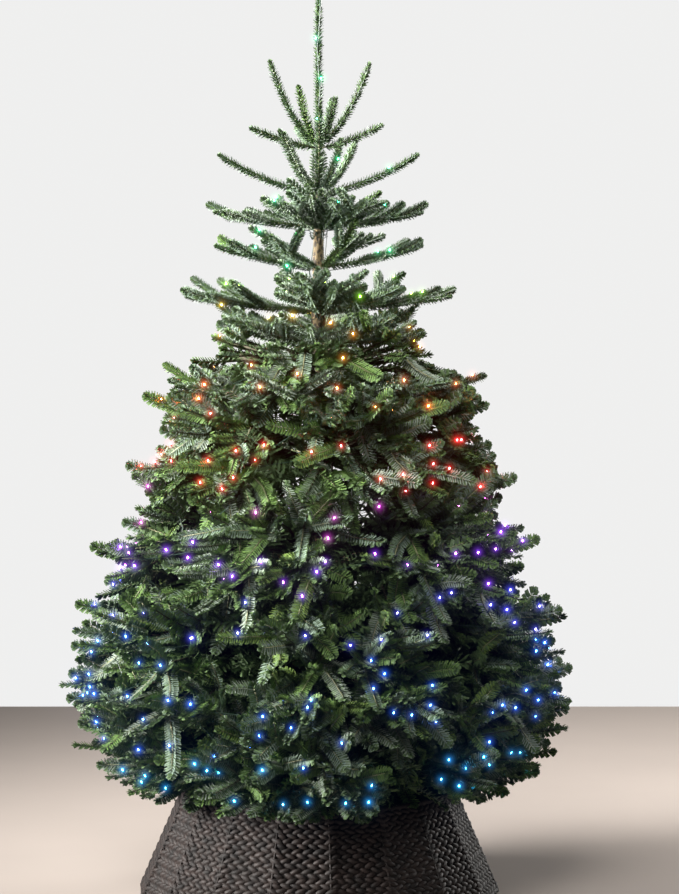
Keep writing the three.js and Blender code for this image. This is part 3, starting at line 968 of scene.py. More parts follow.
# %% Sprays
# The blade that stands for a spray in the solids
FAN_WIDTH, FAN_TEETH, FAN_NECK, FAN_THICKNESS = 0.56, 3, 3.5, 0.08
SPRAY_ROOT_DEPTH = 0.5
# A spray's swing about the trunk, its lift and its roll
SPRAY_SWING, SPRAY_LIFT, SPRAY_ROLL = (0.1, 0.45), (-0.3, 0.12), (-0.7, 0.7)
# How far ahead of its root the outline is read off, in millimetres
LOOK_AHEAD = 150
SHORTEST_SHARE, SHORTEN_BY = 0.4, 0.93
# How far an extra branch may reach, as a share of the crown's outline
FILL_SHARE = 0.96


def fan_points(root, direction, up, length):
    """The corners of the toothed blade that stands for a spray in the solids."""
    forward = unit(direction)
    right = unit(np.cross(forward, up))
    normal = np.cross(right, forward)
    points = [(0, length, 0), (0, 0, FAN_NECK), (0, 0.5 * length, FAN_THICKNESS * length)]
    for hand in (1, -1):
        points.append((hand * FAN_NECK, 0, 0))
        for i in range(FAN_TEETH):
            t = (i + 1.1) / (FAN_TEETH + 0.6)
            width = 0.5 * FAN_WIDTH * length * math.sin(math.pi * t**0.75)
            points.append((hand * width, t * length, 0))
            if i < FAN_TEETH - 1:
                points.append((hand * 0.55 * width, (t + 0.03) * length, 0))
    return [root + x * right + y * forward + z * normal for x, y, z in points]


def spray_from(mass, across, height, reach):
    """A spray's root, direction, up and length, or None where it doesn't fit.

    One with a reach is an extra one, and is that share as long.
    """
    random = mass.random
    outwards = math.sqrt(max(0.04, 1 - 0.8 * across**2 - 0.8 * height**2))
    depth = SPRAY_ROOT_DEPTH
    root = mass.in_heart(depth * outwards, depth * height, depth * across)
    turn = math.atan2(root[1], root[0]) - across * mix(*SPRAY_SWING, random())
    lift = 0.6 * height + mix(*SPRAY_LIFT, random())
    direction = unit(around(1, turn, lift))
    up = UP + around(1, turn + math.pi / 2, 0) * mix(*SPRAY_ROLL, random())
    wanted = OUTLINE_SHARE * crown_reach(root[2] + lift * LOOK_AHEAD) - away_from_trunk(root)
    if reach:
        return root, direction, up, reach * (wanted - (1 - FILL_SHARE) * crown_reach(root[2]))
    length = wanted
    while length > SHORTEST_SHARE * wanted:
        if all(mass.holds(p) for p in fan_points(root, direction, up, length)):
            return root, direction, up, length
        length *= SHORTEN_BY
    return None


print("sprays ready")

# %% [markdown]
# ### From sprays to branches
# A fir twig lengthens once a year and ends in a ring of buds, so its sprigs stand in stars:
# one that runs on, and four or five round its foot that lean away from it. Pairs of side
# sprigs at even steps would be quicker to write, but they look like a fern. So each branch
# has a node for every year, a star of sprigs at each node, and one sprig at its tip.

# %% Side sprigs
# The lowest a sprig may hang: distance from the trunk, and height
UNDERSIDE = [(300, 228), (376, 246), (480, 278), (560, 306)]
BASKET_GAP, TOP_MARGIN = 8, 45
# The shares that a sprig is shortened to until it fits
SPRIG_SHARES = (1, 0.9, 0.8, 0.7, 0.6)
# The lean of a side sprig off its branch in degrees, its bow, and its droop or rise
SIDE_LEAN, SIDE_BOW, SIDE_HOOK, SIDE_DROOP = (36, 60), 0.09, 0.05, (-0.12, 0.06)
# A side sprig's face: outwards, upwards and sideways
FACE_OUT, FACE_UP, FACE_SIDE = 0.8, (0.3, 0.8), (-0.6, 0.6)


def room_for(root, direction, length, limit):
    """How long a sprig may be before it leaves the crown's outline, or 0 where it's too short."""
    for share in SPRIG_SHARES:
        tip = (root + direction * length * share) / MM
        reach = away_from_trunk(tip)
        top = DENSE_CROWN_TOP + DENSE_CROWN_SLOPE * reach + TOP_MARGIN
        clear = tip[2] > BASKET_HEIGHT or reach > basket_radius(tip[2]) + BASKET_GAP
        above = tip[2] > read_off(UNDERSIDE, reach)
        if reach < limit * crown_reach(tip[2]) and tip[2] < top and clear and above:
            return share * length
    return 0


def side_sprig(root, along, out, length, limit, habit, tone, random):
    """A sprig that leaves a branch towards out and bends back to the branch's heading."""
    lean = math.radians(mix(*SIDE_LEAN, random()))
    direction = unit(math.cos(lean) * along + math.sin(lean) * out)
    length = room_for(root, direction, length, limit)
    if not length:
        return
    tip = root + direction * length
    bend = mix(root, tip, 0.5) + SIDE_BOW * length * (out - along)
    tip = tip + SIDE_HOOK * length * along + UP * length * mix(*SIDE_DROOP, random())
    outward = outward_at(root)
    sideways = np.array([-outward[1], outward[0], 0])
    face = FACE_OUT * outward + UP * mix(*FACE_UP, random()) + sideways * mix(*FACE_SIDE, random())
    sprig([root, bend, tip], face, habit, tone, bare=0.04)


print("side sprigs ready")

# %% [markdown]
# ### One branch
# The wood of a branch leaves its bough at a fork halfway out, so that many branches share
# one stretch of the way. Straight sticks from the trunk to every branch would show as a
# stack of planks wherever the crown opens.

# %% Branches
YEAR_LENGTH = (0.120, 0.150)
YEARS_WITH_STARS, YEAR_STEP, FIRST_STAR, FIRST_PLACE = 2, 0.85, 0.3, 0.02
# The turns round the twig, in degrees, of the sprigs of an outer and an inner star
STAR_TURNS = {"outer": (4, 176, 52, 128, 268), "inner": (12, 168, 90)}
# The least and the greatest length of a star's sprigs, as shares of the year's length
STAR_SPANS = {"outer": (0.94, 1.18), "inner": (0.82, 1.04)}
STAR_SWING, STAR_UNEVENNESS = (-25, 25), (-14, 14)
OUTER_TONES = {"frosted": 3.2, "bluish": 3.4, "leaf": 3.2, "young": 0.7}
# The inner sprigs' greens: partly the warmer green of older needles, partly the shaded green, a painted
# shade
INNER_TONES = {"bluish": 2.2, "leaf": 4.2, "young": 1.4, "shaded": 1.0}
# The shares of extra branches whose star and whose tip take the inner greens
EXTRA_INNER_STARS, EXTRA_INNER_TIPS, SHORT_EXTRA = 0.4, 0.3, 0.2
# How far the sprigs of extra and of main branches may reach, as shares of the outline
EXTRA_LIMIT, MAIN_LIMIT = (0.78, 0.90), (0.86, 0.97)
# The wood from the fork to a branch's root, and the branch: radii at their ends
FOOT_RADII, BRANCH_RADII = (0.0042, 0.0034), (0.0034, 0.0016)
FORK_REACH, FORK_HEIGHT, FOOT_BOW, BRANCH_SAG, BRANCH_SHARE = 0.5, 0.55, 0.006, 0.05, 0.97
dense_wood = Bundle()
branches = 0


def stretched(root, direction, length):
    """The length at which a main branch just meets the crown's outline."""
    for share in np.arange(1, 1.4, 0.02):
        tip = root + share * length * direction
        if away_from_trunk(tip) > crown_reach(tip[2]):
            break
    return share * length


def grow_branch(mass, root, direction, up, length, kind):
    """A branch of the kind main, which is one of the solids', extra or side."""
    global branches
    branches += 1
    random = mass.random
    extra = kind == "extra"
    direction = unit(direction)
    if kind == "main":
        length = stretched(root, direction, length)
    root, length = root * MM, length * MM
    fork_z = mix(mass.node_z * MM, root[2], FORK_HEIGHT)
    fork = around(FORK_REACH * away_from_trunk(root), mass.angle, fork_z)
    foot = np.array([fork, mix(fork, root, 0.6) + UP * FOOT_BOW, root])
    tip = root + direction * BRANCH_SHARE * length
    tip[2] = max(tip[2], read_off(UNDERSIDE, away_from_trunk(tip) / MM) * MM)
    bend = mix(root, tip, 0.55) - UP * BRANCH_SAG * length
    curve = np.array([root, bend, tip])
    dense_wood.add(*limb(foot, FOOT_RADII, 4, 3))
    dense_wood.add(*limb(curve, BRANCH_RADII, 4, 5))
    # The old wood's needles take the shaded green, painted shade inside the crown
    for wood in (foot, curve):
        add_needles("shaded", needles_on(wood, unit(up), OLD_WOOD))
    limit = mix(*(EXTRA_LIMIT if extra else MAIN_LIMIT), random())
    year = mix(*YEAR_LENGTH, random())
    last = max(FIRST_STAR, 1 - year / length)
    for node in range(YEARS_WITH_STARS):
        t = last - node * YEAR_STEP * year / length
        if t < FIRST_PLACE:
            break
        (spot,), (along,) = on_curve(curve, [t])
        side = unit(np.cross(along, up))
        normal = np.cross(side, along)
        inner_star = node or (extra and length < SHORT_EXTRA)
        star, habit = ("inner", INNER_COMB) if inner_star else ("outer", COMB)
        weights = INNER_TONES if node or (extra and random() < EXTRA_INNER_STARS) else OUTER_TONES
        swing = mix(*STAR_SWING, random())
        for turn in STAR_TURNS[star]:
            roll = math.radians(turn + swing + mix(*STAR_UNEVENNESS, random()))
            out = side * math.cos(roll) + normal * math.sin(roll)
            span = year * mix(*STAR_SPANS[star], random())
            side_sprig(spot, along, out, span, limit, habit, dealt_tone(random, weights), random)
    face = unit(up) + 0.5 * outward_at(root)
    weights = INNER_TONES if extra and random() < EXTRA_INNER_TIPS else OUTER_TONES
    sprig(part_of(curve, last - 0.03, 1), face, COMB, dealt_tone(random, weights))


print("branches ready")

# %% [markdown]
# ### All the branches
# Each mass first gets the branches that its solid has, then the extra ones. Last come the
# tips that stand out at both sides, because they draw the outline that is seen from the front.

# %% Grow the thick crown
EXTRA_ROWS = {
    "tier_6": (3, 4, 4),
    "tier_7": (4, 4, 4),
    "tier_8": (4, 4, 4),
    "tier_9": (4, 4, 4),
    "tier_10": (4, 4, 4, 4),
}
EXTRA_REACH = (0.70, 0.97)
# How the sprays spread over a mass: up, across, within a step across, and astray in height
SPREADS = {
    "main": (0.75, 0.92, (0.35, 0.65), 0.12),
    "extra": (1, 1.25, (0.25, 0.75), 0.25),
}
# Tips that stand out at the left (-1) and at the right (1): height, reach and rise
SIDE_TIPS = {
    -1: [
        (1268, 443, 0.30), (1092, 486, 0.20), (942, 500, 0.12), (880, 583, 0.22), (732, 621, 0.14),
        (622, 634, 0.10), (488, 646, 0.04), (424, 616, -0.04), (306, 548, -0.16),
        (1180, 403, 0.26), (1000, 430, 0.16), (790, 548, 0.12), (556, 638, 0.06),
    ],
    1: [
        (1262, 410, 0.30), (1140, 440, 0.26), (1056, 505, 0.22), (900, 562, 0.24), (722, 618, 0.12),
        (570, 646, 0.16), (470, 636, 0.04), (420, 616, 0.0), (308, 560, -0.14),
        (1190, 388, 0.30), (1006, 466, 0.20), (830, 522, 0.15), (640, 602, 0.10),
    ],
}
SIDE_TIP_LENGTH, SIDE_TIP_STRAY = 300, (-40, 40)
# They are rolled towards the camera, so that their combs don't show edge on
SIDE_TIP_UP = np.array([0, -0.85, 0.55])
# This many millimetres of height weigh as much as a turn of one radian in the choice of a mass
HEIGHT_WEIGHT = 80


def sprays_of(mass, rows, kind):
    """The sprays of one kind that fit a mass, each as what grow_branch takes."""
    tall, wide, step, stray = SPREADS[kind]
    found = []
    for row, count in enumerate(rows):
        height = mix(tall, -tall, (row + 0.5) / len(rows))
        for i in range(count):
            across = mix(-wide, wide, (i + mix(*step, mass.random())) / count)
            reach = mix(*EXTRA_REACH, mass.random()) if kind == "extra" else None
            spray = spray_from(mass, across, height + mix(-stray, stray, mass.random()), reach)
            if spray:
                found.append((mass, *spray, kind))
    return found


def side_tip(side, z, reach, rise):
    """A branch whose tip is at one side, from the mass that is nearest there."""
    tip = np.array([side * reach, mix(*SIDE_TIP_STRAY, (z % 7) / 6), z])
    direction = unit(np.array([side, 0, rise]))
    angle = math.atan2(0, side)

    def how_far(mass):
        return angle_between(mass.angle, angle) + abs(mass.levels(reach)[2] - z) / HEIGHT_WEIGHT

    root = tip - SIDE_TIP_LENGTH * direction
    return min(masses, key=how_far), root, direction, SIDE_TIP_UP, SIDE_TIP_LENGTH, "side"


for mass in masses:
    sprays = sprays_of(mass, mass.rows, "main") + sprays_of(mass, EXTRA_ROWS[mass.name], "extra")
    for spray in sprays:
        grow_branch(*spray)
for side, tips in SIDE_TIPS.items():
    for tip in tips:
        grow_branch(*side_tip(side, *tip))
print(branches, "branches,", len(perches), "sprigs so far")

# %% [markdown]
# ### The dark sprigs inside
# On a real tree the light never reaches the old sprigs near the trunk. They are only seen
# as a dark ground between the lit ones. A dark solid core would do that too, but it shows as
# a smooth lump wherever a gap opens. So sparse sprigs with long needles are strewn there,
# fewer of them in the upper part, where specks of daylight come through.
# They take the dark shaded green, a painted shade for the light that never reaches them.

# %% The dark sprigs inside
DEEP_SPRIGS = 1400
SPECKS_FROM, SPECKS_SHARE = 980, 0.36
DEEP_REACH, DEEP_TIP_REACH = 0.64, 0.78
DEEP_FLOOR_GAP, DEEP_CEILING_GAP = 25, 15
DEEP_TURN, DEEP_LIFT, DEEP_LENGTH, DEEP_SAG = (-1.3, 1.3), (-0.5, 0.4), (110, 150), 8
DEEP_FACE = (-0.5, 1.5)


def fill_inside():
    """Sprigs in the dark shaded green, a painted shade, strewn evenly through the crown's inside, clear
    of its outline.
    """
    random = seeded(TREE_HEIGHT)
    floor, ceiling = BASKET_HEIGHT + DEEP_FLOOR_GAP, DENSE_CROWN_TOP - DEEP_CEILING_GAP
    widest = DEEP_REACH * CROWN_OUTLINE[:, 1].max()
    made = 0
    while made < DEEP_SPRIGS:
        x, y = (mix(-widest, widest, random()) for _ in range(2))
        root = np.array([x, y, mix(floor, ceiling, random())])
        distance = away_from_trunk(root)
        if not trunk_radius(root[2]) < distance < DEEP_REACH * crown_reach(root[2]):
            continue
        if root[2] > SPECKS_FROM and random() < SPECKS_SHARE:
            continue
        outward = np.array([x, y, 0]) / distance
        heading = rolled(outward, UP, mix(*DEEP_TURN, random())) + UP * mix(*DEEP_LIFT, random())
        tip = root + unit(heading) * mix(*DEEP_LENGTH, random())
        if away_from_trunk(tip) > DEEP_TIP_REACH * crown_reach(tip[2]) or tip[2] > ceiling:
            tip = mix(root, tip, -0.5)
        bend = mix(root, tip, 0.5) - UP * DEEP_SAG
        face = UP + outward * mix(*DEEP_FACE, random())
        add_needles("shaded", needles_on(np.array([root, bend, tip]) * MM, face, DEEP))
        made += 1


fill_inside()
print({tone: bundle.triangles() for tone, bundle in needles.items()})

# %% [markdown]
# ## Trunk and boughs
# The trunk shows between the open whorls: tan bark with a raised collar at each whorl and
# small scars all over. The relief is pushed out of a fine tube by a few waves of different
# lengths, which is steadier than noise and has no seam.

# %% Trunk and boughs
BARK_RELIEF = 0.0016
# The trunk has finer rings from this height up, where it shows
BARE_TRUNK_Z, HIDDEN_RINGS, BARE_RINGS, TRUNK_SIDES = 1300, 100, 230, 22
COLLAR_SWELL, COLLAR_WIDTH = 0.16, 16
BOUGH_RADII, BOUGH_RINGS, BOUGH_SIDES = (0.012, 0.008), 14, 10
STEM_RADII, STEM_REACH, STEM_BEND = (0.0085, 0.004), 0.6, 60


def rough_radius(z, turn, radius):
    """Radii of a barky tube: knobs and shallow ridges on a plain one."""
    ridges = np.sin(7 * turn + 23 * z) * np.sin(61 * z + 2 * turn)
    knobs = np.sin(11 * turn + 520 * z) * np.sin(5 * turn - 610 * z)
    return radius * (1 + 0.03 * ridges) + BARK_RELIEF * (0.5 * ridges + knobs)


def trunk_shape():
    hidden = np.linspace(TRUNK_FOOT_Z, BARE_TRUNK_Z, HIDDEN_RINGS, endpoint=False)
    z = np.concatenate([hidden, np.linspace(BARE_TRUNK_Z, TRUNK_TIP_Z, BARE_RINGS)])
    radius = trunk_radius(z)
    for _, whorl_z, *_ in OPEN_WHORLS:
        radius = radius * (1 + COLLAR_SWELL * np.exp(-(((z - whorl_z) / COLLAR_WIDTH) ** 2)))
    radii = rough_radius(z[:, None] * MM, turns_round(TRUNK_SIDES)[None], radius[:, None] * MM)
    return tube(np.stack([0 * z, 0 * z, z * MM], 1), radii, TRUNK_SIDES)


def bough_shape(mass):
    t = np.linspace(0, 1, BOUGH_RINGS)
    points, _ = on_curve(mass.bough_curve() * MM, t)
    turn = turns_round(BOUGH_SIDES)[None]
    radii = rough_radius(0.5 * t[:, None], turn, mix(*BOUGH_RADII, t)[:, None])
    return tube(points, radii, BOUGH_SIDES)


def stem_shape(mass):
    """The limb that runs on from the bough, or from the trunk, into the heart."""
    root = mass.bough_curve()[2] if mass.bough else around(0, mass.angle, mass.node_z)
    end = mass.in_heart(STEM_REACH, 0, 0)
    bend = around(away_from_trunk(root) + STEM_BEND, mass.angle, mix(root[2], end[2], 0.3))
    return limb(np.array([root, bend, end]) * MM, STEM_RADII, 6, 6)


trunk_bark, bough_bark = Bundle(), Bundle()
trunk_bark.add(*trunk_shape())
for mass in masses:
    if mass.bough:
        bough_bark.add(*bough_shape(mass))
    dense_wood.add(*stem_shape(mass))

foliage_nodes = [n for n in nodes if "foliage" in n or "shoot" in n or n == "crown_tip"]
bough_nodes = [n for n in nodes if "_bough_" in n]
for bundle, name, material, stands_for in (
    (trunk_bark, "trunk_bark", bark_finish, ["trunk"]),
    (bough_bark, "bough_bark", bark_finish, bough_nodes),
    (dense_wood, "branch_wood", twig_finish, ()),
    (twigs, "sprig_stems", sprig_stem_finish, ()),
):
    finished_pieces(bundle, name, material, stands_for, True)
for tone, bundle in needles.items():
    finished_pieces(bundle, f"needles_{tone}", needle_finishes[tone], foliage_nodes)
print(pieces_made)

# %% [markdown]
# ## The basket
# The wall is eighteen flat panels round a frame of upright stakes. Each panel is filled with
# level plaits, and in a plait the stems cross in a chevron, which points one way on one
# panel and the other way on the next. A bump map of chevrons would look printed on at the
# edge, so every lobe of every plait is a small swollen leaf of geometry over a dark lining.

# %% The basket's plaits
STAKES = 18
STAKE_TURN = math.radians(14.5)
PLAIT_ROWS = 12
CHEVRON_WIDTH = 0.0265
PLAIT_TILT, TILT_SPREAD = math.radians(21), (-0.1, 0.1)
LOBE_SIZE = (0.0185, 0.0082, 0.0072)
LOBE_SINK, LOBE_OFFSET, LOBE_GROWTH = 0.0052, 0.26, (0.93, 1.07)
LOBE_STATIONS = [(-1, 0, 0), (-0.6, 0.75, 0.75), (0.1, 1, 1), (0.7, 0.7, 0.6), (1, 0, 0)]
LOBE_ACROSS = [(-1, 0), (-0.45, 0.9), (0.45, 0.9), (1, 0)]
LOWEST_PLAIT = 0.001


def lobe_template():
    """One lobe of a plait, lying along x and swelling towards z."""
    corners = [(s[0], a[0] * s[1], a[1] * s[2]) for s in LOBE_STATIONS for a in LOBE_ACROSS]
    wide, last = len(LOBE_ACROSS), len(LOBE_STATIONS) - 2
    triangles = []
    for i in range(last + 1):
        for k in range(wide - 1):
            a, b = i * wide + k, i * wide + k + 1
            if i > 0:
                triangles.append((a, a + wide, b))
            if i < last:
                triangles.append((b, a + wide, b + wide))
            if i == 0:
                triangles.append((a, a + wide, b + wide))
    return np.array(corners), np.array(triangles)


lobe_corners, lobe_triangles = lobe_template()


def wall_point(stake, share, z):
    """A point on a flat panel: share runs from one stake to the next."""
    turns = [STAKE_TURN + 2 * math.pi * (stake + k) / STAKES for k in (0, 1)]
    ends = [around(basket_radius(z) * MM, turn, z * MM) for turn in turns]
    return mix(ends[0], ends[1], share)


def lobe_at(place, along, out, random):
    """A lobe on the wall, its long axis along and its crown out."""
    across = np.cross(out, along)
    x, y, z = (lobe_corners * LOBE_SIZE * mix(*LOBE_GROWTH, random())).T
    points = place + x[:, None] * along + y[:, None] * across + z[:, None] * out
    points[:, 2] = np.clip(points[:, 2], LOWEST_PLAIT, BASKET_HEIGHT * MM)
    return points, lobe_triangles


def plaited_panel(weave, stake, random):
    foot, head = wall_point(stake, 0.5, 0), wall_point(stake, 0.5, BASKET_HEIGHT)
    upward = unit(head - foot)
    along = unit(wall_point(stake, 1, 0) - wall_point(stake, 0, 0))
    out = np.cross(along, upward)
    pointing = 1 if stake % 2 else -1
    row_height = BASKET_HEIGHT / PLAIT_ROWS
    for row in range(PLAIT_ROWS):
        z = (row + 0.5) * row_height
        width = np.linalg.norm(wall_point(stake, 1, z) - wall_point(stake, 0, z))
        cells = round(width / CHEVRON_WIDTH)
        for cell in range(2 * cells):
            hand = 1 if cell % 2 else -1
            share = (0.5 * cell + 0.5) / cells
            level = z + LOBE_OFFSET * hand * row_height
            tilt = -hand * pointing * PLAIT_TILT + mix(*TILT_SPREAD, random())
            heading = pointing * (along * math.cos(tilt) + upward * math.sin(tilt))
            place = wall_point(stake, share, level) - LOBE_SINK * out
            weave.add(*lobe_at(place, unit(heading), out, random))


weave = Bundle()
plait_random = seeded(18)
for stake in range(STAKES):
    plaited_panel(weave, stake, plait_random)
print(weave.triangles(), "triangles of plaits")

# %% [markdown]
# ### Stakes, rims and lining
# The panels meet at stakes and are bound by a roll at the foot and at the rim. Behind the
# plaits runs a thin dark lining, so no light comes through the seams between the lobes.

# %% Stakes, rims and lining
STAKE_FOOT_Z, STAKE_INSET, STAKE_RADII = 2, 0.003, [0.0034, 0.0030]
# Height, inset and radius of the rolls at the foot and at the rim
ROLLS = [(6, 0.006, 0.006), (BASKET_HEIGHT - 7, 0.006, 0.007)]
LINING_INSETS, LINING_LEVELS = (0.005, 0.019), (1, BASKET_HEIGHT - 2)
# The lining's rings of corners that are joined, in pairs, and whether the faces turn inwards
LINING_WALLS = [(0, 1, False), (2, 3, True), (1, 3, False), (0, 2, True)]


def at_stake(stake, z, inset):
    """A point of the wall at a stake, moved a little towards the trunk."""
    corner = wall_point(stake, 0, z)
    return corner - outward_at(corner) * inset


def lining_shape():
    """A thin shell of flat panels just behind the plaits."""
    rings = [(inset, z) for inset in LINING_INSETS for z in LINING_LEVELS]
    corners = [at_stake(stake, z, inset) for inset, z in rings for stake in range(STAKES)]
    triangles = []
    for this in range(STAKES):
        for first, second, inwards in LINING_WALLS:
            k, j = this, (this + 1) % STAKES
            if inwards:
                k, j = j, k
            a, b = first * STAKES, second * STAKES
            triangles += [(a + k, a + j, b + j), (a + k, b + j, b + k)]
    return np.array(corners), np.array(triangles)


for stake in range(STAKES):
    ends = [at_stake(stake, z, STAKE_INSET) for z in (STAKE_FOOT_Z, BASKET_HEIGHT)]
    weave.add(*tube(ends, STAKE_RADII, 6))
for z, inset, radius in ROLLS:
    for stake in range(STAKES):
        ends = [at_stake(s, z, inset) for s in (stake, stake + 1)]
        weave.add(*tube(ends, [radius, radius], 6))
lining = Bundle()
lining.add(*lining_shape())
finished_pieces(weave, "basket_weave", weave_finish, ["basket_wall"], True)
finished_pieces(lining, "basket_lining", lining_finish)
for name, material in (("basket_floor", lining_finish), ("holder", steel_finish)):
    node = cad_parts[name]
    node.data.materials.clear()
    node.data.materials.append(material)
print("basket", pieces_made["basket_weave"], "triangles")

# %% [markdown]
# ## The string of lights
# One string winds down the tree from the tip of the leader, close to the ends of the sprigs.
# Each lamp sits on the sprig that is nearest to the winding line there, upright in its small
# socket. Walking a spiral and asking for the nearest free sprig keeps them evenly spread
# and never in mid air.

# %% Where the lamps sit
LAMP_SPACING, TOP_LAMP_SPACING = 0.082, 0.13
OPEN_CROWN_Z = 1.46
STRING_TOP, STRING_START_TURN, STRING_FOOT = 2.255, 0.6, 0.26
TURN_DROP, LEADER_STEP, LEADER_REACH = 0.105, 0.1, 0.09
# How far the string strays up and down on its way round the dense crown
STRING_SWAY = 0.042
# Height and distance from the trunk, in metres
STRING_REACH = [
    (0.27, 0.45), (0.46, 0.6), (0.6, 0.61), (1.3, 0.37),
    (1.44, 0.23), (1.5, 0.24), (1.9, 0.1), (2.0, 0.02),
]
# A lamp closer than this to the axis sits on the leader, a little before it and to one side
LEADER_ZONE, LEADER_LAMP_SIDE, LEADER_LAMP_FRONT = 0.08, 0.005, -0.015
# A perch may be this far off the line, and the lamp stands this far off the perch
PERCH_GAP, LAMP_LIFT, LAMP_OUT = 0.12, 0.004, 0.008


def string_line():
    z, turn, line = STRING_TOP, STRING_START_TURN, []
    while z > STRING_FOOT:
        reach = read_off(STRING_REACH, z)
        sway = STRING_SWAY if z < OPEN_CROWN_Z else 0
        line.append(around(reach, turn, z + sway * (math.sin(5.3 * turn) + 0.6 * math.sin(12.7 * turn))))
        step = (TOP_LAMP_SPACING if z > OPEN_CROWN_Z else LAMP_SPACING) / max(reach, 0.05)
        turn += step
        z -= TURN_DROP * step / (2 * math.pi) if reach > LEADER_REACH else LEADER_STEP
    return np.array(line)


def lamps_on_sprigs():
    """Each lamp's place, the side it faces, and the way of its wire back to the trunk."""
    spots = np.array([spot for spot, *_ in perches])
    taken = np.zeros(len(spots), bool)
    chosen = []
    for point in string_line():
        if away_from_trunk(point) < LEADER_ZONE:
            aside = LEADER_LAMP_SIDE * (-1) ** len(chosen)
            chosen.append((point * [0, 0, 1] + np.array([aside, LEADER_LAMP_FRONT, 0]), UP, []))
            continue
        # A sprig that has a lamp counts as a metre further away
        gap = np.linalg.norm(spots - point, axis=1) + taken
        best = int(np.argmin(gap))
        if gap[best] > PERCH_GAP:
            continue
        taken[best] = True
        spot, face, way = perches[best]
        outward = outward_at(point)
        place = spot + LAMP_LIFT * face + LAMP_OUT * outward
        chosen.append((place, outward, way if place[2] > OPEN_CROWN_Z else []))
    return chosen


print(len(string_line()), "places along the string")

# %% [markdown]
# ### Lamps, sockets and wire
# A lamp is a tiny clear bulb in a socket. In the open crown the wire shows, so it runs back
# along each shoot and sags from one to the next. In the thick crown it dips inwards between
# two lamps and is soon out of sight.

# %% Lamps, sockets and wire
LAMP_RADIUS, LAMP_LENGTH = 0.0017, 0.0050
# Along a lamp from its foot: place, and radius as a share
LAMP_PROFILE = np.array([[0, 0.8], [0.25, 1.0], [0.75, 0.85], [1.0, 0.25]])
SOCKET_RADIUS, SOCKET_LENGTH = 0.0028, 0.019
CABLE_RADIUS, CABLE_DROP, LONGEST_STRETCH = 0.0011, 0.010, 0.3
CABLE_SAG, CABLE_TUCK = (0.02, 0.05), 0.8
LAMP_LEAN, LAMP_UPRIGHT, LAMP_FACING = (-0.3, 0.3), 1.3, 0.6


def lamp_shape(foot, heading):
    places, shares = LAMP_PROFILE.T
    return tube(foot + places[:, None] * LAMP_LENGTH * heading, shares * LAMP_RADIUS, 6)


def stretch_of_cable(points):
    """A stretch of wire along a root, a bend and a tip."""
    return limb(np.array(points), (CABLE_RADIUS, CABLE_RADIUS), 3, 5)


def string_lights():
    lamps = {name: Bundle() for name, *_ in LAMP_COLOURS}
    cable = Bundle()
    random = seeded(400)
    chosen = lamps_on_sprigs()
    ends = []
    for place, face, way in chosen:
        lean = np.array([mix(*LAMP_LEAN, random()), mix(*LAMP_LEAN, random()), LAMP_UPRIGHT])
        heading = unit(lean + LAMP_FACING * face)
        colour = next(name for name, lowest, *_ in LAMP_COLOURS if place[2] >= lowest)
        foot = place - heading * 0.5 * SOCKET_LENGTH
        neck = place + heading * 0.5 * SOCKET_LENGTH
        cable.add(*tube([foot, neck], [SOCKET_RADIUS, 0.9 * SOCKET_RADIUS], 5))
        lamps[colour].add(*lamp_shape(neck, heading))
        for stretch in way:
            cable.add(*stretch_of_cable(stretch - UP * CABLE_DROP))
        ends.append(way[0][0] - UP * CABLE_DROP if way else foot)
    for a, b in zip(ends, ends[1:]):
        if np.linalg.norm(b - a) > LONGEST_STRETCH:
            continue
        middle = mix(a, b, 0.5)
        if middle[2] > OPEN_CROWN_Z:
            middle -= UP * mix(*CABLE_SAG, random())
        else:
            middle[:2] *= CABLE_TUCK
        cable.add(*stretch_of_cable([a, middle, b]))
    finished_pieces(cable, "light_cable", cable_finish)
    for name, bundle in lamps.items():
        if bundle.parts:
            finished_pieces(bundle, f"lamps_{name}", lamp_finishes[name])
    return len(chosen)


print(string_lights(), "lamps,", sum(pieces_made.values()), "triangles in all")

# %% [markdown]
# ## Floor and light
# A plain pale floor and an even pale surround stand in for a studio. The main light is one
# big soft window high on the left, so the right side of the tree and everything under the
# sprays falls off into dark. A weak light overhead and a weak bounce from the right behind
# only lift the shadows. Each light is held to a cone, as by a grid on its front, which keeps
# the basket and the floor darker than the crown's top.

# %% Floor and light
FLOOR_BACK, FLOOR_FRONT, FLOOR_SIDE = 3.0, -7.0, 7.0
FLOOR_DROP = 0.001
FLOOR_TONES = (0.310, 0.268, 0.242), (0.340, 0.292, 0.264)
LIGHT_SPREAD = math.radians(60)
LIGHT_COLOUR = (1.0, 0.985, 0.95)
# Name, place, the point it aims at, size in metres and power in watts
SOFT_LIGHTS = [
    ("window", (-4.4, -0.8, 2.7), (0, 0, 2.1), 3.2, 590),
    ("overhead", (-0.6, -1.6, 3.5), (0, 0, 2.1), 2.6, 60),
    ("bounce", (3.0, 2.4, 2.0), (0, 0, 1.7), 2.6, 60),
]
SURROUND = (0.865, 0.865, 0.86)
# The surround is seen at full strength, and lights the tree with this share of it
SURROUND_LIGHT = 0.25

floor_mesh = bpy.data.meshes.new("floor")
floor_corners = [(-1, FLOOR_FRONT), (1, FLOOR_FRONT), (1, FLOOR_BACK), (-1, FLOOR_BACK)]
floor_mesh.from_pydata([(side * FLOOR_SIDE, y, 0) for side, y in floor_corners], [], [(0, 1, 2, 3)])
floor_mesh.materials.append(finish("floor", two_tones(*FLOOR_TONES, 3, {"Roughness": 0.55})))
floor = bpy.data.objects.new("floor", floor_mesh)
floor.location = (0, 0, -FLOOR_DROP)
bpy.context.scene.collection.objects.link(floor)


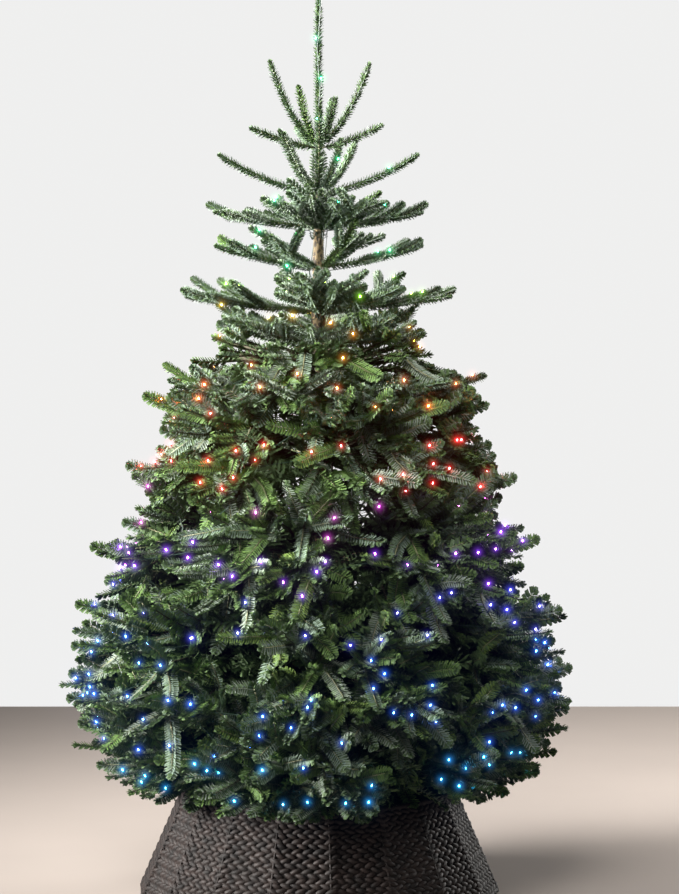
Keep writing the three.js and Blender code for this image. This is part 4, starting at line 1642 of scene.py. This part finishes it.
def soft_light(name, place, aim, size, power):
    data = bpy.data.lights.new(name, "AREA")
    data.shape, data.size, data.energy, data.color = "SQUARE", size, power, LIGHT_COLOUR
    data.spread = LIGHT_SPREAD
    lamp = bpy.data.objects.new(name, data)
    lamp.location = place
    lamp.rotation_euler = (Vector(aim) - Vector(place)).to_track_quat("-Z", "Y").to_euler()
    lamp.visible_camera = False
    bpy.context.scene.collection.objects.link(lamp)


for light in SOFT_LIGHTS:
    soft_light(*light)

world = bpy.data.worlds.new("surround")
world.use_nodes = True
bpy.context.scene.world = world
backdrop = world.node_tree.nodes["Background"]
backdrop.inputs["Color"].default_value = (*SURROUND, 1)
seen_directly = Wire(world.node_tree).node("ShaderNodeLightPath")
strength = seen_directly * (1 - SURROUND_LIGHT) + SURROUND_LIGHT
world.node_tree.links.new(strength.socket, backdrop.inputs["Strength"])
bpy.context.scene.view_settings.view_transform = "Standard"
print("lights ready")

# %% [markdown]
# ## Glow
# The halo round each lamp is lens glare, added to the picture afterwards, because real air
# has none. Only the lamps are bright enough to pass the threshold, so the surround and the
# lit needles keep their edges. A faint wide glare is added to the picture, and over it a
# small soft blur of the lamps' cores.

# %% Glow
GLARE = {"Threshold": 1.6, "Clamp": True, "Maximum": 10.0, "Strength": 0.5, "Size": 0.2}
HALO_PIXELS, HALO_STRENGTH = 8, 0.2

scene = bpy.context.scene
scene.use_nodes = True
sheet = scene.node_tree
sheet.nodes.clear()
start = Wire(sheet)
picture = start.node("CompositorNodeRLayers")
glare = start.node("CompositorNodeGlare", {"glare_type": "BLOOM"}, {"Image": picture, **GLARE})
cores = Wire(sheet, glare.socket.node.outputs["Highlights"])
soft = {"filter_type": "GAUSS", "size_x": HALO_PIXELS, "size_y": HALO_PIXELS}
halo = start.node("CompositorNodeBlur", soft, {"Image": cores})
glow = start.node(
    "CompositorNodeMixRGB", {"blend_type": "ADD"}, {0: HALO_STRENGTH, 1: glare, 2: halo}
)
out = sheet.nodes.new("CompositorNodeComposite")
sheet.links.new(glow.socket, out.inputs["Image"])
print("halos", HALO_PIXELS, "pixels wide")
